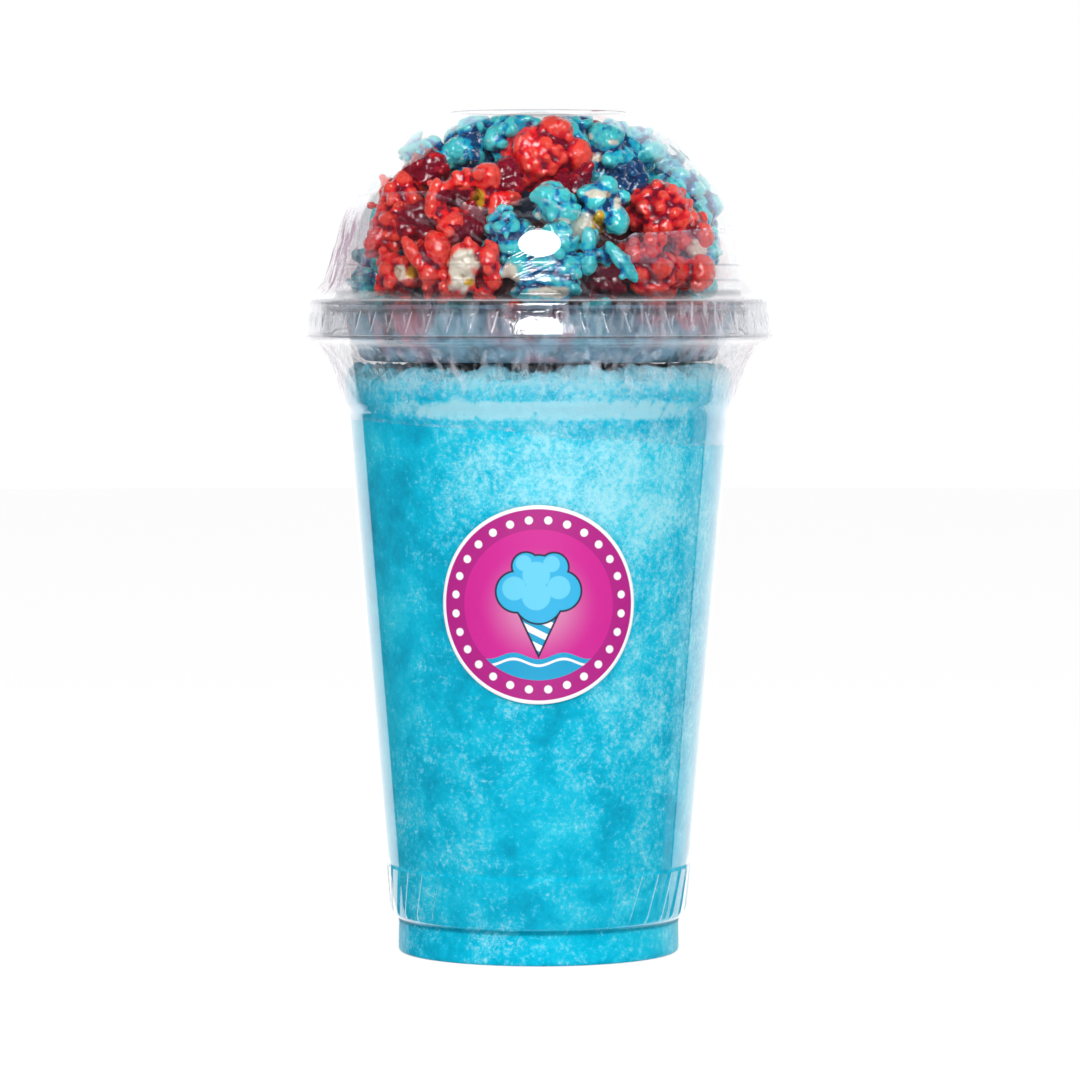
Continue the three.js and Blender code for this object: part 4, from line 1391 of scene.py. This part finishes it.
# %% One kernel
BUBBLE = 2.5
BUBBLE_SEAM = 0.07
ROUGHNESS = 0.2
FOLD_SCALES = [(7, 0.22, 0.75), (20, 0.75, 0.7)]  # rounds of averaging, depth in mm, weight
WALL_GAP = 0.5
TRAY_LIMIT = 37.4  # radius that is free at the tray's floor
TRAY_SLOPE = 0.3
TRAY_TOP = 142
PRESSED = 0.15  # what may be pressed flat


def dressed(half, shape, wide=1, tall=1, lean=0, lobes=()):
    """A shape stretched and leaned, with its extra lobes."""
    tilt = Matrix.Rotation(math.radians(lean), 3, "Y")
    grow = math.sqrt(wide * tall)
    made = []
    for place, radii, turn in SHAPES[shape](half):
        place = np.array(tilt @ Vector((place[0] * wide, place[1], place[2] * tall)))
        made.append((place, radii * grow, tilt @ turn))
    for across, up, rx, rz, lobe_lean in lobes:
        front = -0.3 * half + 0.02 * (across**2 + up**2)
        middle, small = np.array((across, front, up)), min(rx, rz)
        made.append(lobe(middle, (rx, small * 1.1, rz), (0, math.radians(lobe_lean), 0)))
        for _ in range(4):
            spot = middle + rng.normal(0, 0.5, 3) * (rx, small, rz)
            made.append(lobe(spot, [small * rng.uniform(0.35, 0.6)] * 3))
    return made


def fine_skin(points, normal, spot):
    """Fine bumps and the seams between the bubbles. Returns the points and the seams."""
    spot = Vector(spot)
    cells = np.array([noise.voronoi(Vector(p) / BUBBLE + spot)[0][:2] for p in points])
    seam = 1 - rise(cells[:, 1] - cells[:, 0], 0.0, 0.3)
    rough = np.array([noise.noise(Vector(p) * 0.8 + spot) for p in points])
    rough += 0.35 * np.array([noise.noise(Vector(p) * 1.7 + spot) for p in points])
    return points + normal * (rough * ROUGHNESS - seam * BUBBLE_SEAM)[:, None], seam


def fold_depth(points, normal, edges, seam):
    """How deep each point lies between its neighbours, above 0 in folds."""
    fold, even = 0.06 * seam, points
    for rounds, depth, weight in FOLD_SCALES:
        for _ in range(rounds):
            even = averaged(even, edges, len(points))
        fold = fold + weight * np.clip(((even - points) * normal).sum(1) / depth, -1, 1.4)
    return fold


def marked(points, fold, marks):
    """The values that the coat reads, with the marks painted in."""
    values = {"fold": fold, "cream": np.zeros(len(points)), "hull": np.zeros(len(points))}
    if marks:
        ragged = 0.45 * np.array([noise.noise(Vector(p) * 0.45) for p in points])
    for kind, dx, dz, rx, rz in marks:
        away = np.hypot((points[:, 0] - dx) / rx, (points[:, 2] - dz) / rz) + ragged
        mask = rise(-away, -1.05, -0.8) * ((points[:, 1] < 1.5) | (kind in ("deep", "hull")))
        # a deep mark is painted shade: it darkens the coat, as in the curl's hollow and on kernels
        # lying in shade
        if kind == "pale":
            values["fold"] = values["fold"] - 0.35 * mask
        elif kind == "deep":
            values["fold"] = values["fold"] * (1 - 0.6 * mask) + 0.9 * mask
        else:
            values[kind] = np.maximum(values[kind], mask)
    return values


def cleared(points, facing):
    """Pushed in from dome and tray, the rest pressed flat against them."""
    z = points[:, 2]
    tray_limit = TRAY_LIMIT + (z - TRAY_FLOOR_Z) * TRAY_SLOPE
    limit = np.where(z < TRAY_TOP, tray_limit, dome_radius(z) - WALL_GAP)
    for _ in range(9):
        over = float(np.max(np.hypot(points[:, 0], points[:, 1]) - limit)) - PRESSED
        if facing == 0 and over > 0:
            points[:, 1] += 0.7 * over
    away = np.hypot(points[:, 0], points[:, 1])
    points[:, :2] *= np.minimum(1, limit / np.maximum(away, 1e-6))[:, None]
    points[:, 2] = np.clip(points[:, 2], TRAY_FLOOR_Z + 0.6, DOME_TOP - 1.2)
    return points


def kernel(spot, facing, balls, voxel, marks):
    """Points, faces and the painted values of one kernel in its place."""
    points, faces, edges = fuse(balls, voxel)
    points = points + 0.5 * (averaged(points, edges, len(points)) - points)
    normal = normals_of(points, faces)
    normal *= np.sign((normal * points).sum(1).mean()) or 1.0
    points, seam = fine_skin(points, normal, spot)
    values = marked(points, fold_depth(points, normal, edges, seam), marks)
    points = points @ np.array(Matrix.Rotation(-facing, 3, "Z")) + spot
    return cleared(points, facing), faces, values


print("free radius", TRAY_LIMIT, "mm at the tray's floor")

# %% [markdown]
# ### The heap
# First every kernel is planned, then each is grown, and those of one colour are joined, so red
# and blue are one piece each. The kernels in front get a finer mesh than the hidden ones.

# %% The heap in two pieces
FRONT_CUBE = 0.46
HIDDEN_CUBE = 0.92


def heap_plan():
    """Colour, place, facing, balls, cube size and marks of every kernel."""
    plan = []
    for across, z, half, colour, shape, sunk, wide, tall, lean, lobes, marks in FRONT:
        reach = float(dome_radius(z)) - 0.8
        depth = sunk + 0.92 * half - math.sqrt(max(reach**2 - across**2, 0))
        balls = dressed(half * 0.98, shape, wide, tall, lean, lobes)
        plan.append((colour, np.array([across, depth, z]), 0, balls, FRONT_CUBE, marks))
    for degrees, distance, z, half, colour, shape in hidden_plan():
        a = math.radians(degrees)
        spot = np.array([distance * math.sin(a), -distance * math.cos(a), z])
        plan.append((colour, spot, a, dressed(half, shape), HIDDEN_CUBE, []))
    return plan


def joined(kernels, colour, material):
    """One piece from all the kernels of a colour, with their painted values."""
    shift, faces = 0, []
    for points, quads, _ in kernels:
        faces.append(quads + shift)
        shift += len(points)
    points = np.concatenate([k[0] for k in kernels]) * MM
    mesh = mesh_from("popcorn_" + colour, points, np.concatenate(faces))
    for name in ("fold", "cream", "hull"):
        paint(mesh, name, np.concatenate([k[2][name] for k in kernels]))
    paint(mesh, "lot", np.concatenate([np.full(len(k[0]), rng.uniform(0, 1)) for k in kernels]))
    return piece("popcorn_" + colour, mesh, material, "popcorn")


def build_popcorn(materials):
    heaps = {RED: [], BLUE: []}
    for colour, spot, facing, balls, voxel, marks in heap_plan():
        heaps[colour].append(kernel(spot, facing, balls, voxel, marks))
    return [joined(kernels, colour, materials[colour]) for colour, kernels in heaps.items()]


print("cubes of", FRONT_CUBE, "mm in front and", HIDDEN_CUBE, "mm behind")

# %% [markdown]
# ### The candied coat
# The painted fold drives it: deep and dark where the sugar pools, bright on the knobs, thin and
# pale on the highest ones. The darkening in the folds is also painted shade, and so is the darker
# cream and hull there. Blotches keep it uneven, and on the blue kernels bare foam shows in
# small gaps. A clear coat of high refraction over a soft bump makes the wet-looking glints.

# %% Popcorn materials
CREAM = (0.86, 0.79, 0.64)
CREAM_SHADED = (0.5, 0.36, 0.2)
HULL = (0.72, 0.42, 0.02)
HULL_SHADED = (0.2, 0.11, 0.01)


def coat_colour(g, place, spots, deep, bright, second, thin, bare):
    """Boiled sugar: a level from 0 in the folds to 1 on the knobs picks its tone, dark in the folds
    as painted shade.
    """
    fold = g.painted("fold")
    # painted shade: the deeper a point lies in a fold, the darker its coat
    level = g.weighted((fold, -0.8), start=0.5)
    blotch = g.noise(place, 0.28, 3, 0.55)
    for part, weight in ((blotch, 1.0), (spots, 0.3), (g.painted("lot"), 0.2)):
        level = g.weighted((g.math("SUBTRACT", part, 0.5), weight), start=level)
    swirl = g.step(g.noise(place, 0.21, 3, 0.6, 0.8), 0.45, 0.58)
    coat = g.mix(g.step(level, 0.05, 0.55), deep, g.mix(swirl, bright, second))
    coat = g.mix(g.step(level, 0.72, 1.3), coat, thin)
    gap = g.step(g.noise(place, 0.9, 4, 0.7, 0.4), 0.6, 0.66, 0.0, bare)
    coat = g.mix(gap, coat, CREAM)
    # painted shade: bare foam and hull are darker in the folds
    coat = g.mix(g.painted("cream"), coat, g.mix(g.step(fold, 0.2, 1.4), CREAM, CREAM_SHADED))
    return g.mix(g.painted("hull"), coat, g.mix(g.step(fold, 0.6, 2.2), HULL, HULL_SHADED))


def candied(name, **tones):
    g = Graph(name)
    place = g.millimetres()
    spots = g.noise(place, 1.1, 4, 0.7)
    skin = coat_colour(g, place, spots, **tones)
    inputs = {"Vector": place, "Scale": 0.62, "Smoothness": 0.35}
    bubbles = g.add("ShaderNodeTexVoronoi", inputs, feature="SMOOTH_F1")
    relief = g.math("SUBTRACT", g.math("MULTIPLY", spots, 0.32), bubbles.outputs["Distance"])
    bumps = g.add("ShaderNodeBump", {"Height": relief, "Distance": 0.5 * MM, "Strength": 0.8})
    rough = g.step(spots, 0.3, 0.75, 0.15, 0.35)
    inputs = {"Base Color": skin, "Roughness": rough, "Normal": bumps, "Coat Weight": 1.0}
    inputs.update({"Coat Roughness": 0.1, "Coat IOR": 1.7, "Coat Normal": bumps})
    inputs["Specular IOR Level"] = 0.2
    return g.out(g.add("ShaderNodeBsdfPrincipled", inputs))


coats = {
    RED: candied("candied_red", deep=(0.22, 0.0, 0.02), bright=(0.93, 0.008, 0.014),
                 second=(0.7, 0.006, 0.02), thin=(1.0, 0.075, 0.05), bare=0.0),
    BLUE: candied("candied_blue", deep=(0.0, 0.05, 0.18), bright=(0.0, 0.43, 0.68),
                  second=(0.0, 0.19, 0.52), thin=(0.06, 0.66, 0.7), bare=0.5),
}
popcorn = build_popcorn(coats)

# %% [markdown]
# Between the front kernels it is dark, because more popcorn lies behind. A lumpy core stands for
# what can't be seen, coloured dark red and blue as painted shade.

# %% Core
CORE = [(36, 129.2), (35, 141), (32, 150), (27, 160), (18, 168), (7, 171.5)]
CORE_COLUMNS = 120


def shade_material():
    g = Graph("shade_between")
    place = g.millimetres()
    side = g.step(g.noise(place, 0.09, 2), 0.45, 0.55)
    # painted shade: near-black red and blue
    colour = g.mix(side, (0.09, 0.006, 0.012), (0.004, 0.03, 0.07))
    bumps = g.add("ShaderNodeBump", {"Height": g.noise(place, 0.5, 4), "Distance": 0.6 * MM})
    rough = g.step(g.noise(place, 0.7, 2), 0.3, 0.7, 0.5, 0.9)
    inputs = {"Base Color": colour, "Roughness": rough, "Normal": bumps}
    return g.out(g.add("ShaderNodeBsdfPrincipled", inputs))


def build_core(material):
    radius, height, _ = smooth_patch(along(CORE, 1.2), CORE_COLUMNS)
    lumps = fluff(grid_points(radius, height, angles(CORE_COLUMNS)) / MM, 0.16, 3, 2.0)
    radius = radius - 1.2 + 1.6 * lumps
    mesh = turned("popcorn_core", [(radius, height, ["low", "high"])])
    return piece("popcorn_core", mesh, material, "popcorn")


core = build_core(shade_material())

# %% [markdown]
# ## The sticker
# A round printed sticker, bent to the cup's wall. The design is a generic one: a puff of candy
# on a striped cone over a wavy sash, inside a ring of dots and a white border. It is drawn from
# circles and bands on coordinates that lie flat on the sticker.

# %% Sticker shape
LABEL_Z = 77.6
LABEL_RADIUS = 21.1
LABEL_LIFT = 0.15  # off the wall
LABEL_THICK = 0.28
LABEL_COLUMNS = 144


def build_sticker(material):
    """Rings round its middle, the last two running over the cut edge back to the wall."""
    rings = [*np.linspace(0.5, LABEL_RADIUS - 0.4, 24), LABEL_RADIUS - 0.12]
    lift = [LABEL_THICK] * len(rings) + [LABEL_THICK * 0.55, 0.0]
    rings = np.array(rings + [LABEL_RADIUS] * 2)
    around = angles(LABEL_COLUMNS)
    u = rings[:, None] * np.sin(around)
    v = rings[:, None] * np.cos(around)
    z = LABEL_Z + v
    r = cup_radius(z) + LABEL_LIFT + np.array(lift)[:, None]
    turn = u / cup_radius(z)
    points = np.stack([r * np.sin(turn), -r * np.cos(turn), z], -1).reshape(-1, 3) * MM
    faces = [face[::-1] for face in grid_faces(len(rings), LABEL_COLUMNS).tolist()]
    faces.append(list(range(LABEL_COLUMNS)))
    mesh = mesh_from("round_sticker", points, faces)
    flat = np.stack([u, v, np.zeros_like(u)], -1).reshape(-1)
    mesh.attributes.new("flat", "FLOAT_VECTOR", "POINT").data.foreach_set("vector", flat)
    return piece("round_sticker", mesh, material, "sticker")


# %% [markdown]
# The print is worked out from u and v, the place on the flat sticker in millimetres. A shape is a
# value that is 1 inside it and 0 outside, and the colours are laid over one another like stencils:
# the disc, its ring, the sash, the cone, the puff with its dark outline, the dots, the border.

# %% Shapes for the print
WHITE = (0.86, 0.86, 0.87)
MAGENTA = (0.6, 0.008, 0.28)
DEEP_MAGENTA = (0.43, 0.005, 0.22)
CYAN = (0.0, 0.34, 0.6)
BLUSH = (0.66, 0.28, 0.46)
SKY = (0.02, 0.42, 0.72)
SKY_LIGHT = (0.12, 0.58, 0.8)
INK = (0.01, 0.012, 0.04)
PRINT_EDGE = 0.12  # half the softness of a printed edge
RING_INNER = 15.9
BORDER_INNER = 20.2
DOTS = 28
DOT_RING = 18.0
PUFFS = [(-4.6, 2.8, 4.2), (0, 5.6, 4.8), (4.7, 3.0, 4.1), (0, 1.2, 5.0), (-2.6, 8.2, 2.8),
         (3.2, 8.0, 2.9)]  # u, v and radius
CONE_TIP = 10.4
CONE_SLOPE = -0.46
OUTLINE = 0.45


def below(g, value, edge, soft):
    """1 where the value is under the edge, 0 above edge plus soft."""
    return g.step(value, edge, edge + soft, 1.0, 0.0)


def puff(g, u, v, aside=0.0, up=0.0, size=1.0, more=0.0):
    """The candy's outline as discs in one, which may be moved, shrunk or widened."""
    shape = None
    for cu, cv, radius in PUFFS:
        away = g.length(g.math("SUBTRACT", u, cu + aside), g.math("SUBTRACT", v, cv + up))
        disc = below(g, away, radius * size + more - PRINT_EDGE, 2 * PRINT_EDGE)
        shape = disc if shape is None else g.math("MAXIMUM", shape, disc)
    return shape


def cone(g, u, v, more=0.0):
    """A triangle that hangs below v = 0."""
    side = g.weighted((g.math("ADD", v, CONE_TIP), CONE_SLOPE), start=g.math("ABSOLUTE", u))
    inside = below(g, side, more - PRINT_EDGE, 2 * PRINT_EDGE)
    return g.product(inside, below(g, v, 0, 0.2))


def ring_of_dots(g, u, v, away):
    turns = g.product(g.math("ARCTAN2", u, v), DOTS / (2 * math.pi))
    from_dot = g.math("SUBTRACT", g.math("FRACT", turns), 0.5)
    along_ring = g.product(from_dot, 2 * math.pi * DOT_RING / DOTS)
    off_ring = g.math("SUBTRACT", away, DOT_RING)
    return below(g, g.length(along_ring, off_ring), 0.75, 0.2)


print("print of", len(PUFFS), "puffs and", DOTS, "dots")

# %% Sticker print


def sticker_material():
    g = Graph("printed_paper")
    flat = g.add("ShaderNodeAttribute", attribute_name="flat", attribute_type="GEOMETRY")
    u, v, _ = g.add("ShaderNodeSeparateXYZ", {0: flat.outputs["Vector"]}).outputs
    away = g.length(u, v)
    disc = below(g, away, RING_INNER, 0.15)
    wave = g.product(g.math("COSINE", g.product(u, 0.6)), 0.7)
    sash_at = g.math("ADD", v, wave)
    sash = g.product(disc, below(g, sash_at, -10.9, 0.2))
    line = g.product(disc, g.step(sash_at, -12.5, -12.35), below(g, sash_at, -11.95, 0.15))
    slant = g.weighted((u, 0.5), start=v)
    stripes = g.step(g.math("PINGPONG", slant, 1.5), 0.7, 0.8)
    colour = g.mix(g.step(away, 0, 13), BLUSH, MAGENTA)
    colour = g.mix(disc, DEEP_MAGENTA, colour)
    colour = g.mix(sash, colour, CYAN)
    colour = g.mix(line, colour, WHITE)
    colour = g.mix(cone(g, u, v, OUTLINE), colour, INK)
    colour = g.mix(cone(g, u, v), colour, g.mix(stripes, WHITE, CYAN))
    colour = g.mix(puff(g, u, v, more=0.4), colour, INK)
    colour = g.mix(puff(g, u, v), colour, SKY)
    colour = g.mix(puff(g, u, v, -0.5, 0.7, 0.6), colour, SKY_LIGHT)
    colour = g.mix(ring_of_dots(g, u, v, away), colour, WHITE)
    colour = g.mix(g.step(away, BORDER_INNER, BORDER_INNER + 0.15), colour, WHITE)
    fibres = g.noise(g.millimetres(), 2.2, 3, 0.6)
    bumps = g.add("ShaderNodeBump", {"Height": fibres, "Distance": 0.02 * MM})
    inputs = {"Base Color": colour, "Normal": bumps}
    inputs["Roughness"] = g.step(fibres, 0.3, 0.7, 0.32, 0.45)
    return g.out(g.add("ShaderNodeBsdfPrincipled", inputs))


sticker = build_sticker(sticker_material())

# %% [markdown]
# ## Finish
# The frame takes over.
